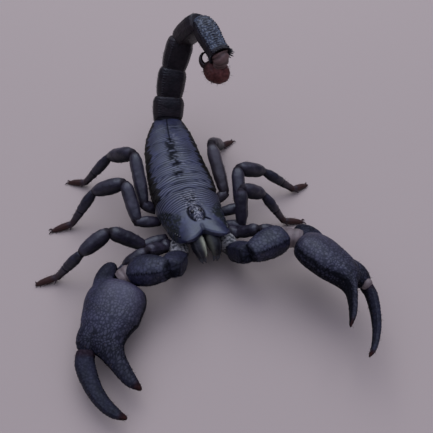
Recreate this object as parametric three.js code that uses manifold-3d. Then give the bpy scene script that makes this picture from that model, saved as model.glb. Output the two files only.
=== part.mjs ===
// A large forest scorpion at life size, standing alert with its hands spread and its tail curled over its back.
// Millimetres, front -Y, the animal's left +X, up +Z. While it is being made, the origin is on the floor under
// the middle of the carapace's hind edge. At the end the whole animal is centred over the origin.

import * as THREE from 'three';
import { mergeVertices } from 'three/addons/utils/BufferGeometryUtils.js';
import Module from 'manifold-3d';

const wasm = await Module();
wasm.setup();

// ---- Driving dimensions ----

const JOINT_GAP = 0.3;
const SIDES = { left: 1, right: -1 };

// The trunk bends gently towards the animal's left: its middle line leaves x = 0 by this parabola.
const BEND = { offset: -1.85, front_rate: 0.0019, hind_rate: 0.0026, lowest_y: 14 };

// Carapace: [y, half width, top, rim, bottom]
const CARAPACE_LENGTH = 20;
const CARAPACE_ROWS = [
  [-CARAPACE_LENGTH, 6.4, 16.2, 15.3, 14.8],
  [-18.5, 7.9, 16.8, 13.7, 13.0],
  [-15.5, 8.8, 17.2, 11.8, 11.0],
  [-8, 10.0, 17.7, 10.5, 9.7],
  [0, 11.1, 18.3, 10.2, 9.4],
];
const NOTCH = { depth: 3.0, half_width: 5.4 };
const EYE = { radius: 0.68, apart: 2.4, y: -10.4, z: 18.1 };
const TUBERCLE = { half_width: 2.1, half_length: 3.1, half_height: 1.0, z: 17.5 };

// Mesosoma: the lengths of its seven rings, and [y, half width, top, rim, bottom] along it
const RING_LENGTHS = [3.2, 4.3, 5.6, 6.6, 7.4, 8.3, 9.6];
const MESOSOMA_ROWS = [
  [0, 11.1, 18.3, 12.2, 7.6],
  [6, 11.6, 18.8, 12.2, 7.2],
  [14, 11.3, 19.0, 12.2, 7.2],
  [22, 10.7, 18.9, 12.3, 7.4],
  [30, 10.0, 18.5, 12.5, 7.9],
  [37, 8.6, 17.9, 13.0, 8.8],
  [45, 5.9, 17.0, 13.9, 10.4],
];
const TERGITE_STEP = 0.03;
const PLEURAL_FOLD = 0.07;

// Underside: the block that the eight coxae make
const COXAE = { half_width: 9.6, front_y: -13.6, hind_y: 6.5, top: 9.1, bottom: 6.0 };
const PECTINE = { length: 9.5, width: 2.6, thickness: 0.9, y: 9.2, z: 6.4 };

// Chelicerae: beside the middle line, under the frontal lobes
const CHELICERA = { apart: 4.9, hind_y: -13.6, hand_y: -20.8, tip_y: -23.4, half_width: 2.2, half_height: 2.6 };

// Metasoma: [length, half width, half depth, curl, lean] of its five segments. Curl is 0 towards the back,
// 90 straight up and 180 towards the front. Lean is towards the animal's left. Degrees.
const TAIL_START = [1.0, 45.7, 14.1];
const TAIL_SEGMENTS = [
  [9.8, 5.8, 4.7, 61, 12],
  [10.8, 5.2, 4.5, 67, 17],
  [11.3, 4.8, 4.3, 79, 22],
  [12.5, 4.3, 3.9, 128, 27],
  [16.0, 3.7, 3.4, 204, 13],
];
const VESICLE = { half_length: 5.2, half_width: 4.4, half_height: 4.2 };
const STING_ROOT_RADIUS = 1.25;

// Pedipalps: segment lengths, then each side's pose. Sweep is 0 straight out to the side, -90 to the front
// and 90 to the back. Pitch is upwards. Roll lifts the inner edge of the hand. Swing closes the fingers inwards.
// Degrees. Offset is [along, outwards] from the wrist. Width and finger are shares of the hand's and the fingers'
// width, and lift raises the tips of [palm finger, moving finger].
const PALP = { femur: 15.0, patella: 15.2 };
const PALP_POSES = {
  right: {
    base: [-8.3, -18.7, 7.4],
    femur: [-66.6, 36.1],
    patella: [28.5, -20.5],
    hand: [-57.6, -9],
    roll: 1,
    swing: 0,
    offset: [0, 0],
    width: 1,
    finger: 1,
    lift: [0, 0],
  },
  left: {
    base: [9.05, -19.05, 6.1],
    femur: [-81.7, 41.9],
    patella: [17.6, 0],
    hand: [-57, -4.6],
    roll: 26,
    swing: 1.7,
    offset: [0.75, 0.35],
    width: 0.82,
    finger: 0.5,
    lift: [-8.2, -5.5],
  },
};

// The hand seen from above its back: [along from the wrist, outwards] and [place, half width, top, bottom]
const PALM_LINE = [
  [3.0, -0.6],
  [6.0, -0.9],
  [10, -1.3],
  [14, -1.9],
  [18, -2.6],
  [21.5, -4.3],
  [24.6, -7.2],
  [27.4, -10.8],
  [29.6, -14.2],
  [31.0, -17.6],
];
const PALM_ROWS = [
  [0, 4.2, 3.0, 2.7],
  [0.07, 7.3, 4.4, 3.8],
  [0.16, 8.8, 5.2, 4.4],
  [0.3, 8.6, 5.2, 4.4],
  [0.42, 7.7, 4.7, 4.0],
  [0.52, 5.9, 3.9, 3.4],
  [0.62, 3.5, 2.9, 2.6],
  [0.72, 2.5, 2.2, 2.0],
  [0.83, 2.0, 1.8, 1.6],
  [0.92, 1.5, 1.35, 1.2],
  [1, 0.5, 0.5, 0.5],
];

// Two swellings of the palm: [along, outwards] and half sizes along, across and through
const BASAL_LOBE = { at: [4.0, 4.8], half: [5.9, 3.0, 3.6] };
const KNUCKLE = { at: [20.6, 0.8], half: [6.0, 4.2, 3.6] };

// The moving finger, and how far both fingers reach beyond the knuckle
const FINGER_REACH = 15;
const FINGER_LINE = [
  [26.0, 0.4],
  [28.1, -0.2],
  [30.1, -1.6],
  [34.3, -5.9],
  [37.0, -10.1],
  [38.3, -13.8],
  [38.7, -16.9],
];
const FINGER_ROWS = [
  [0, 2.6, 2.1, 1.9],
  [0.2, 2.5, 1.95, 1.8],
  [0.48, 2.0, 1.65, 1.5],
  [0.7, 1.65, 1.4, 1.25],
  [0.87, 1.2, 1.05, 0.95],
  [1, 0.4, 0.4, 0.4],
];

// Legs: [femur, patella, shank, tarsus] lengths and thickness of each pair, then each leg's pose.
// The shank's and the tarsus's pitch follow from the heights of the ankle and the claws.
const LEG_LENGTHS = {
  1: [8.6, 8.6, 10.6, 6.4],
  2: [12.6, 11.0, 13.3, 7.3],
  3: [13.9, 12.3, 14.7, 7.6],
  4: [18.2, 14.0, 17.0, 7.6],
};
const LEG_THICKNESS = { 1: 0.96, 2: 1.12, 3: 1.18, 4: 1.2 };
const ANKLE_HEIGHT = 2.2;
const CLAW_HEIGHT = 0.35;
const LEG_POSES = {
  right: {
    1: { base: [-12.2, -13.6, 7.4], femur: [-35, 35], patella: [-6, -26], shank: -34, tarsus: -34 },
    2: { base: [-18.4, -11.8, 8.6], femur: [8, 38.5], patella: [-16, -24], shank: 7, tarsus: 2 },
    3: { base: [-18.9, -2.1, 9.9], femur: [82, 36], patella: [17, -22], shank: -10, tarsus: 0 },
    4: { base: [-15.4, 5.0, 10.3], femur: [90, 38.5], patella: [47, -28], shank: 18, tarsus: 30 },
  },
  left: {
    1: { base: [12.2, -13.6, 7.4], femur: [-35, 35], patella: [-6, -26], shank: 6, tarsus: 2 },
    2: { base: [14.4, -11.0, 8.0], femur: [77, 62], patella: [13, -35], shank: -32, tarsus: -4 },
    3: { base: [16.2, -3.4, 9.1], femur: [79, 33], patella: [10, -26], shank: -13, tarsus: 22 },
    4: { base: [12.8, 3.8, 9.7], femur: [95, 39], patella: [59, -37], shank: 71, tarsus: 35 },
  },
};

// Segment shapes of every leg at full thickness: [place, half width, half height above, half height below]
const FEMUR_SHAPE = [
  [0, 1.3, 1.3, 1.3],
  [0.2, 1.65, 1.8, 1.8],
  [0.6, 1.75, 2.1, 2.1],
  [0.88, 1.6, 1.8, 1.8],
  [1, 1.0, 1.1, 1.1],
];
const PATELLA_SHAPE = [
  [0, 1.1, 1.2, 1.2],
  [0.2, 1.65, 1.95, 1.95],
  [0.55, 1.8, 2.15, 2.15],
  [0.85, 1.5, 1.75, 1.7],
  [1, 1.0, 1.1, 1.1],
];
const FOOT_SHAPE = [
  [0, 0.95, 1.05, 1.05],
  [0.14, 1.3, 1.5, 1.5],
  [0.4, 1.15, 1.3, 1.3],
  [0.55, 0.95, 1.0, 1.0],
  [0.72, 0.95, 1.0, 1.0],
  [0.88, 0.85, 0.85, 0.85],
  [1, 0.5, 0.35, 0.6],
];

// ---- Finishes ----

const FINISHES = {
  shell: { color: 0x14171c, roughness: 0.3, metalness: 0 },
  tail_shell: { color: 0x12100f, roughness: 0.38, metalness: 0 },
  hand_shell: { color: 0x171a22, roughness: 0.36, metalness: 0 },
  leg_shell: { color: 0x171a21, roughness: 0.34, metalness: 0 },
  jaw_shell: { color: 0x2a2119, roughness: 0.42, metalness: 0 },
  membrane: { color: 0x8d7a78, roughness: 0.7, metalness: 0 },
  vesicle: { color: 0x3a1813, roughness: 0.45, metalness: 0 },
  sting: { color: 0x190806, roughness: 0.25, metalness: 0 },
  eye: { color: 0x050505, roughness: 0.08, metalness: 0 },
};

// ---- Shapes ----

const UP = new THREE.Vector3(0, 0, 1);
const BACK = new THREE.Vector3(0, 1, 0);
const radians = THREE.MathUtils.degToRad;

function point(x, y, z) {
  return new THREE.Vector3(x, y, z);
}

function bend(y) {
  const rate = y < BEND.lowest_y ? BEND.front_rate : BEND.hind_rate;
  return BEND.offset + rate * (y - BEND.lowest_y) ** 2;
}

// Smooth values between rows of [place, value, value, ...].
function between(rows) {
  const places = rows.map((row) => row[0]);
  const values = rows.flatMap((row) => row.slice(1));
  const smooth = new THREE.CubicInterpolant(places, values, rows[0].length - 1);
  return (place) => Array.from(smooth.evaluate(place));
}

// A unit section: power 2 is an ellipse, more is squarer.
function section(angle, power) {
  const across = Math.cos(angle);
  const rise = Math.sin(angle);
  return [
    Math.sign(across) * Math.abs(across) ** (2 / power),
    Math.sign(rise) * Math.abs(rise) ** (2 / power),
  ];
}

// A closed cylinder whose vertices are set by place(along 0 to 1, angle, reach 0 at the ends' middles or 1).
function reshapedCylinder(rings, sides, place) {
  const geometry = new THREE.CylinderGeometry(1, 1, 1, sides, rings);
  const vertices = geometry.attributes.position;
  for (let i = 0; i < vertices.count; i += 1) {
    const x = vertices.getX(i);
    const z = vertices.getZ(i);
    const along = THREE.MathUtils.clamp(vertices.getY(i) + 0.5, 0, 1);
    const target = place(along, Math.atan2(z, x), Math.round(Math.hypot(x, z)));
    vertices.setXYZ(i, target.x, target.y, target.z);
  }
  return geometry;
}

// The solid of a closed geometry, for joining and cutting.
function solid(geometry) {
  const bare = geometry.clone();
  bare.deleteAttribute('normal');
  bare.deleteAttribute('uv');
  const merged = mergeVertices(bare, 1e-4);
  const corners = merged.index.array;
  const kept = [];
  for (let i = 0; i < corners.length; i += 3) {
    const [a, b, c] = corners.slice(i, i + 3);
    if (a !== b && b !== c && c !== a) {
      kept.push(a, b, c);
    }
  }
  return new wasm.Manifold(new wasm.Mesh({
    numProp: 3,
    vertProperties: new Float32Array(merged.attributes.position.array),
    triVerts: new Uint32Array(kept),
  }));
}

// The geometry of a solid, without the crumbs that a cut may leave beside its main body.
function surface(body) {
  const main = body.decompose().sort((a, b) => b.volume() - a.volume())[0];
  const mesh = main.getMesh();
  const geometry = new THREE.BufferGeometry();
  geometry.setAttribute('position', new THREE.BufferAttribute(new Float32Array(mesh.vertProperties), 3));
  geometry.setIndex(new THREE.BufferAttribute(new Uint32Array(mesh.triVerts), 1));
  geometry.computeVertexNormals();
  return geometry;
}

// A tube along a spine. Rows hold [place along it, half width, half height above, half height below].
function tube(spine, rows, { sides = 10, rings = 6, up = UP, power = 2.2, furrow = 0, grow = 0 } = {}) {
  const sizes = between(rows);
  return solid(reshapedCylinder(rings, sides, (along, angle, reach) => {
    const target = spine.getPointAt(along);
    const heading = spine.getTangentAt(along);
    const sideways = new THREE.Vector3().crossVectors(heading, up).normalize();
    const upwards = new THREE.Vector3().crossVectors(sideways, heading);
    const [halfWidth, above, below] = sizes(along);
    const [across, rise] = section(angle, power);
    const height = rise > 0 ? above * (1 - furrow * rise ** 6) : below;
    target.addScaledVector(sideways, reach * across * (halfWidth + grow));
    target.addScaledVector(upwards, reach * rise * (height + grow));
    target.addScaledVector(heading, grow * Math.sign(along - 0.5) * Math.floor(Math.abs(along - 0.5) * 2));
    return target;
  }));
}

function ellipsoid(centre, halfSizes, turn = new THREE.Quaternion(), sides = 10) {
  const geometry = new THREE.SphereGeometry(1, sides, Math.ceil(sides * 0.6));
  const frame = new THREE.Matrix4().compose(centre, turn, halfSizes);
  return solid(geometry.applyMatrix4(frame));
}

// A length of the trunk from front to hind. Its rows hold [y, half width, top, rim, bottom].
// The step makes the front of a plate smaller than its hind edge. The fold pulls in both flanks at the rim.
function trunkLength(
  rows,
  front,
  hind,
  { rings = 2, sides = 18, step = 0, fold = 0, power = 2.3, grow = 0 } = {},
) {
  const sizes = between(rows);
  return solid(reshapedCylinder(rings, sides, (along, angle, reach) => {
    const y = THREE.MathUtils.lerp(front - grow, hind + grow, along);
    const [halfWidth, top, rim, bottom] = sizes(THREE.MathUtils.clamp(y, front, hind));
    const [across, rise] = section(angle, power);
    const swell = 1 - step * (1 - along) - fold * Math.abs(across) ** 12;
    const height = rise > 0 ? top - rim : rim - bottom;
    return point(
      bend(y) + reach * across * (halfWidth * swell + grow),
      y,
      rim + reach * rise * (height * swell + grow),
    );
  }));
}

// A unit direction from a sweep and a pitch on one side of the body.
function heading(side, sweep, pitch) {
  const level = Math.cos(radians(pitch));
  return point(
    SIDES[side] * level * Math.cos(radians(sweep)),
    level * Math.sin(radians(sweep)),
    Math.sin(radians(pitch)),
  );
}

function stepFrom(start, direction, length) {
  return start.clone().addScaledVector(direction, length);
}

// Half width and half heights of a limb segment as shares of its thickness.
function scaledRows(rows, thickness) {
  return rows.map(([place, ...sizes]) => [place, ...sizes.map((size) => size * thickness)]);
}

const scorpion = new THREE.Group();

// One named piece. Its origin is at its own joint, and its Y axis lies along it.
function addPiece(name, body, finish, origin = point(0, 0, 0), direction = BACK) {
  const turn = new THREE.Quaternion().setFromUnitVectors(BACK, direction);
  const frame = new THREE.Matrix4().compose(origin, turn, point(1, 1, 1));
  const geometry = surface(body).applyMatrix4(frame.clone().invert());
  const mesh = new THREE.Mesh(geometry, new THREE.MeshStandardMaterial(FINISHES[finish]));
  mesh.name = name;
  mesh.applyMatrix4(frame);
  scorpion.add(mesh);
}

// ---- Head shield, eyes and chelicerae ----

function cheliceraSolid(side, grow = 0) {
  const x = (SIDES[side] * CHELICERA.apart) / 2;
  const spine = new THREE.CatmullRomCurve3([
    point(bend(CHELICERA.hind_y) + x, CHELICERA.hind_y, 12.4),
    point(bend(-19) + x, -19, 12.0),
    point(bend(CHELICERA.hand_y) + x, CHELICERA.hand_y, 10.6),
    point(bend(CHELICERA.tip_y) + x * 0.75, CHELICERA.tip_y, 7.6),
  ]);
  const rows = [
    [0, 0.8, 0.75, 0.75],
    [0.35, 1, 1, 1],
    [0.62, 0.98, 0.95, 0.95],
    [0.82, 0.72, 0.7, 0.72],
    [1, 0.26, 0.26, 0.3],
  ].map(([place, width, above, below]) => [
    place,
    width * CHELICERA.half_width,
    above * CHELICERA.half_height,
    below * CHELICERA.half_height,
  ]);
  return tube(spine, rows, { sides: 8, rings: 6, grow });
}

// The frontal notch, rounded into the two lobes beside it.
function notchSolid() {
  const outline = new THREE.Shape();
  const lobeY = CARAPACE_LENGTH + 0.1;
  const notchY = CARAPACE_LENGTH - NOTCH.depth;
  const [steep, blunt] = [NOTCH.half_width * 0.15, NOTCH.half_width * 0.5];
  outline.moveTo(0, notchY);
  outline.bezierCurveTo(steep, notchY + 0.9, blunt, lobeY, NOTCH.half_width, lobeY);
  outline.lineTo(NOTCH.half_width, lobeY + 2);
  outline.lineTo(-NOTCH.half_width, lobeY + 2);
  outline.lineTo(-NOTCH.half_width, lobeY);
  outline.bezierCurveTo(-blunt, lobeY, -steep, notchY + 0.9, 0, notchY);
  const prism = new THREE.ExtrudeGeometry(outline, { depth: 12, bevelEnabled: false, curveSegments: 5 });
  prism.rotateX(Math.PI);
  prism.translate(bend(-CARAPACE_LENGTH), 0, 22);
  return solid(prism);
}

function eyeCentre(side) {
  return point(bend(EYE.y) + (SIDES[side] * EYE.apart) / 2, EYE.y, EYE.z);
}

function eyeSolid(side, grow = 0) {
  const size = EYE.radius + grow;
  return ellipsoid(eyeCentre(side), point(size, size, size), undefined, 8);
}

function shieldSolid(grow = 0) {
  return trunkLength(CARAPACE_ROWS, -CARAPACE_LENGTH, 0, { rings: 6, sides: 16, power: 2.4, grow });
}

function buildHead() {
  const tubercleSize = point(TUBERCLE.half_width, TUBERCLE.half_length, TUBERCLE.half_height);
  let shield = shieldSolid().add(ellipsoid(point(bend(EYE.y), EYE.y, TUBERCLE.z), tubercleSize));
  shield = shield.subtract(notchSolid());
  for (const side of Object.keys(SIDES)) {
    shield = shield.subtract(cheliceraSolid(side, JOINT_GAP));
    shield = shield.subtract(eyeSolid(side, JOINT_GAP / 2));
    addPiece(`eye_${side}`, eyeSolid(side), 'eye', eyeCentre(side));
    addPiece(`chelicera_${side}`, cheliceraSolid(side), 'jaw_shell');
  }
  addPiece('carapace', shield, 'shell');
}

// ---- Trunk rings and underside ----

function buildTrunk() {
  let front = JOINT_GAP;
  RING_LENGTHS.forEach((length, index) => {
    const hind = front + length - JOINT_GAP;
    const ring = trunkLength(MESOSOMA_ROWS, front, hind, { step: TERGITE_STEP, fold: PLEURAL_FOLD });
    addPiece(`mesosoma_${index + 1}`, ring, 'shell');
    front += length;
  });
}

function buildUnderside(sockets) {
  const { half_width: half, front_y: front, hind_y: hind, top, bottom } = COXAE;
  const rim = (top + bottom) / 2 + 0.4;
  const rows = [
    [front, half * 0.62, top, rim, bottom + 0.6],
    [-8, half * 0.92, top, rim, bottom],
    [0, half, top, rim, bottom],
    [hind, half * 0.8, top, rim, bottom + 0.8],
  ];
  const block = trunkLength(rows, front, hind, { rings: 3, sides: 12, power: 3 });
  const belly = trunkLength(MESOSOMA_ROWS, 0, hind + 2, { grow: JOINT_GAP });
  addPiece('coxosternum', cutBy(block.subtract(belly), sockets), 'shell');
  for (const side of Object.keys(SIDES)) {
    addPiece(`pectine_${side}`, pectineSolid(side), 'jaw_shell');
  }
}

// A comb under the belly: a thin curved blade with teeth along its hind edge.
function pectineSolid(side) {
  const root = point(bend(PECTINE.y) + SIDES[side] * 1.2, PECTINE.y, PECTINE.z);
  const tip = point(root.x + SIDES[side] * PECTINE.length * 0.9, root.y + PECTINE.length * 0.42, PECTINE.z);
  const half = PECTINE.thickness / 2;
  let comb = tube(new THREE.LineCurve3(root, tip), [
    [0, PECTINE.width * 0.4, half, half],
    [0.5, PECTINE.width * 0.36, half, half],
    [1, PECTINE.width * 0.22, half, half],
  ], { sides: 6, rings: 2 });
  const toothCount = 2;
  for (let i = 0; i < toothCount; i += 1) {
    const foot = root.clone().lerp(tip, (i + 0.7) / toothCount);
    const end = point(foot.x + SIDES[side] * 0.5, foot.y + PECTINE.width * 0.75, PECTINE.z - 0.1);
    const tooth = tube(new THREE.LineCurve3(foot, end), [[0, 0.5, 0.3, 0.3], [1, 0.4, 0.28, 0.28]], {
      sides: 4,
      rings: 1,
    });
    comb = comb.add(tooth);
  }
  return comb;
}

// ---- Tail ----

const SEGMENT_SHAPE = [
  [0, 0.8, 0.78, 0.78],
  [0.12, 0.92, 0.9, 0.9],
  [0.32, 1.0, 0.99, 0.98],
  [0.6, 1.03, 1.02, 1.0],
  [0.86, 1.0, 0.98, 0.97],
  [1, 0.86, 0.86, 0.86],
];
const LAST_SEGMENT_SHAPE = [
  [0, 0.74, 0.74, 0.74],
  [0.12, 0.9, 0.92, 0.94],
  [0.35, 1.12, 1.04, 1.06],
  [0.7, 1.04, 1.0, 1.0],
  [0.9, 1.0, 1.0, 1.0],
  [1, 1.08, 1.06, 1.06],
];

function tailFrame(curl, lean) {
  const level = Math.cos(radians(lean));
  const direction = point(
    Math.sin(radians(lean)),
    level * Math.cos(radians(curl)),
    level * Math.sin(radians(curl)),
  );
  const inner = point(0, -Math.sin(radians(curl)), Math.cos(radians(curl)));
  return { direction, inner };
}

function tailSegment(start, before, frame, [length, halfWidth, halfDepth], shape, grow = 0) {
  const spine = new THREE.CatmullRomCurve3([
    stepFrom(start, before, -1.2),
    stepFrom(start, frame.direction, 1.4),
    stepFrom(start, frame.direction, length),
  ]);
  const rows = shape.map(([place, width, above, below]) => [
    place,
    width * halfWidth,
    above * halfDepth,
    below * halfDepth,
  ]);
  return tube(spine, rows, { sides: 12, rings: 5, up: frame.inner, power: 2.7, furrow: 0.08, grow });
}

function buildTail() {
  let start = point(...TAIL_START);
  let before = BACK;
  let cutter = trunkLength(MESOSOMA_ROWS, 36, 45 + JOINT_GAP, { rings: 3 });
  let last;
  TAIL_SEGMENTS.forEach(([length, halfWidth, halfDepth, curl, lean], index) => {
    const isLast = index === TAIL_SEGMENTS.length - 1;
    const shape = isLast ? LAST_SEGMENT_SHAPE : SEGMENT_SHAPE;
    const frame = tailFrame(curl, lean);
    const sizes = [length, halfWidth, halfDepth];
    const end = stepFrom(start, frame.direction, length);
    let segment = tailSegment(start, before, frame, sizes, shape).subtract(cutter);
    if (isLast) {
      const turn = new THREE.Quaternion().setFromUnitVectors(BACK, frame.direction);
      const hollow = point(halfWidth * 0.82, 1.6, halfDepth * 0.82);
      segment = segment.subtract(ellipsoid(end, hollow, turn, 8));
    }
    addPiece(`metasoma_${index + 1}`, segment, 'tail_shell', start, frame.direction);
    cutter = tailSegment(start, before, frame, sizes, shape, JOINT_GAP);
    last = { end, frame };
    start = end;
    before = frame.direction;
  });
  buildTelson(last.end, last.frame, cutter);
}

// The poison bulb hangs folded under the last segment, and its sting hooks over to the animal's right.
function buildTelson(end, frame, lastSegment) {
  const { direction, inner } = frame;
  const right = new THREE.Vector3().crossVectors(inner, direction).normalize();
  const at = (along, inwards, rightwards) => end
    .clone()
    .addScaledVector(direction, along)
    .addScaledVector(inner, inwards)
    .addScaledVector(right, rightwards);
  const neckStart = at(0.2, 2.4, -0.4);
  const middle = at(0.6, 7.1, 0.9);
  const taperEnd = at(-3.2, 6.9, 3.9);
  const taperWay = taperEnd.clone().sub(middle).normalize();
  const bulbTurn = new THREE.Quaternion().setFromUnitVectors(BACK, taperWay);
  const bulbSize = point(VESICLE.half_width, VESICLE.half_length, VESICLE.half_height);
  const neckRows = [[0, 1.5, 1.5, 1.5], [1, 3.0, 2.8, 2.8]];
  const taperRows = [[0, 3.3, 3.2, 3.2], [0.7, 2.4, 2.3, 2.3], [1, 1.4, 1.4, 1.4]];
  const bulb = (grow) => ellipsoid(middle, bulbSize.clone().addScalar(grow), bulbTurn)
    .add(tube(new THREE.LineCurve3(neckStart, middle), neckRows, { sides: 8, rings: 1, up: right, grow }))
    .add(tube(new THREE.LineCurve3(middle, taperEnd), taperRows, { sides: 9, rings: 3, up: right, grow }));
  addPiece('telson_vesicle', bulb(0).subtract(lastSegment), 'vesicle', neckStart);

  const stingStart = taperEnd.clone().addScaledVector(taperWay, 2 * JOINT_GAP);
  const stingSpine = new THREE.CubicBezierCurve3(
    stingStart,
    at(-5.4, 6.8, 5.7),
    at(-8.6, 4.6, 3.0),
    at(-6.4, 5.2, 0.9),
  );
  const stingRows = [[0, 1, 1, 1], [0.35, 0.72, 0.72, 0.72], [0.7, 0.46, 0.46, 0.46], [1, 0.24, 0.24, 0.24]];
  const sting = tube(stingSpine, scaledRows(stingRows, STING_ROOT_RADIUS), { sides: 7, rings: 6, up: inner });
  addPiece('telson_sting', sting, 'sting', stingStart);
}

// ---- Pedipalps ----

function buildPalp(side, shield) {
  const pose = PALP_POSES[side];
  const base = point(...pose.base);
  const femurWay = heading(side, ...pose.femur);
  const patellaWay = heading(side, ...pose.patella);
  const handWay = heading(side, ...pose.hand);
  const elbow = stepFrom(base, femurWay, PALP.femur);
  const wrist = stepFrom(elbow, patellaWay, PALP.patella);
  const cuff = stepFrom(wrist, patellaWay, -2.6);

  const trochanterStart = point(bend(-12) + SIDES[side] * 6.6, -11.2, 7.6);
  const trochanterRows = [
    [0, 2.2, 2.0, 2.0],
    [0.4, 2.9, 2.6, 2.6],
    [0.8, 2.9, 2.8, 2.7],
    [1, 2.3, 2.2, 2.2],
  ];
  const trochanter = (grow) => tube(
    new THREE.LineCurve3(trochanterStart, base),
    trochanterRows,
    { rings: 4, grow },
  );
  const femurRows = [
    [0, 1.9, 1.9, 1.9],
    [0.16, 2.9, 2.8, 2.7],
    [0.6, 3.5, 3.2, 3.0],
    [0.9, 3.2, 3.0, 2.8],
    [1, 2.2, 2.1, 2.0],
  ];
  const femur = (grow) => tube(new THREE.LineCurve3(base, elbow), femurRows, { rings: 5, power: 2.6, grow });
  const patellaRows = [
    [0, 2.0, 2.0, 1.8],
    [0.16, 3.1, 3.1, 2.7],
    [0.58, 4.4, 4.0, 3.3],
    [0.86, 4.1, 3.8, 3.2],
    [1, 3.1, 3.0, 2.7],
  ];
  const patella = (grow) => tube(new THREE.LineCurve3(elbow, cuff), patellaRows, { rings: 5, power: 2.6, grow });

  // The hand's own frame: along from the wrist, outwards, and off its back.
  const level = new THREE.Vector3().crossVectors(handWay, UP).normalize().multiplyScalar(-SIDES[side]);
  const outward = level.clone().applyAxisAngle(handWay, radians(-SIDES[side] * pose.roll));
  const offBack = new THREE.Vector3().crossVectors(handWay, outward).multiplyScalar(SIDES[side]);
  const [knuckleAlong] = KNUCKLE.at;
  const inHand = ([along, out], lift = 0) => {
    const beyond = Math.max(0, along - knuckleAlong);
    const turned = new THREE.Vector2(along - knuckleAlong, out);
    if (beyond > 0) {
      turned.rotateAround(new THREE.Vector2(0, 0), -radians(pose.swing));
    }
    return wrist.clone()
      .addScaledVector(handWay, knuckleAlong + turned.x + pose.offset[0])
      .addScaledVector(outward, turned.y + pose.offset[1])
      .addScaledVector(offBack, lift * (beyond / FINGER_REACH) ** 2);
  };
  const palmSpine = new THREE.CatmullRomCurve3(PALM_LINE.map((place) => inHand(place, pose.lift[0])));
  const fingerSpine = new THREE.CatmullRomCurve3(FINGER_LINE.map((place) => inHand(place, pose.lift[1])));
  const palmRows = PALM_ROWS.map(([place, width, ...heights]) => {
    const beyondPalm = THREE.MathUtils.clamp((place - 0.5) / 0.12, 0, 1);
    return [place, width * pose.width * THREE.MathUtils.lerp(1, pose.finger, beyondPalm), ...heights];
  });
  const fingerRows = FINGER_ROWS.map(([place, width, ...heights]) => [place, width * pose.finger, ...heights]);
  const handTurn = new THREE.Quaternion().setFromRotationMatrix(
    new THREE.Matrix4().makeBasis(handWay, offBack.clone().cross(handWay), offBack),
  );
  const swelling = ({ at, half }, grow) => ellipsoid(inHand(at), point(...half).addScalar(grow), handTurn, 9);
  const palm = (grow) => tube(palmSpine, palmRows, { sides: 10, rings: 11, up: offBack, power: 2.15, grow })
    .add(swelling(BASAL_LOBE, grow))
    .add(swelling(KNUCKLE, grow));
  const finger = (grow) => tube(fingerSpine, fingerRows, { sides: 8, rings: 7, up: offBack, grow });
  const palmRoot = inHand([3.2, 0]);
  const wristTurn = new THREE.Quaternion().setFromUnitVectors(BACK, palmRoot.clone().sub(cuff).normalize());
  const wristMiddle = cuff.clone().lerp(palmRoot, 0.45);
  const wristSize = point(2.5, cuff.distanceTo(palmRoot) * 0.62, 2.5);
  const wristBall = ellipsoid(wristMiddle, wristSize, wristTurn, 9);

  const name = `pedipalp_${side}`;
  addPiece(`${name}_trochanter`, trochanter(0).subtract(shield), 'jaw_shell');
  addPiece(`${name}_femur`, femur(0).subtract(trochanter(JOINT_GAP)), 'shell', base, femurWay);
  addPiece(`${name}_patella`, patella(0).subtract(femur(JOINT_GAP)), 'shell', elbow, patellaWay);
  addPiece(
    `${name}_wrist`,
    wristBall.subtract(patella(JOINT_GAP)).subtract(palm(JOINT_GAP)),
    'membrane',
    cuff,
    patellaWay,
  );
  const palmBody = palm(0).subtract(patella(JOINT_GAP)).subtract(finger(JOINT_GAP));
  addPiece(`${name}_hand`, palmBody, 'hand_shell', wrist, handWay);
  addPiece(`${name}_finger`, finger(0), 'hand_shell', inHand(FINGER_LINE[0]), handWay);
  return [trochanter(JOINT_GAP), femur(JOINT_GAP)];
}

// ---- Legs ----

function floorBlock() {
  const block = new THREE.BoxGeometry(300, 300, 20);
  block.translate(0, 0, -10);
  return solid(block);
}

function pitchTo(height, from, length) {
  return THREE.MathUtils.radToDeg(Math.asin((height - from.z) / length));
}

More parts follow.
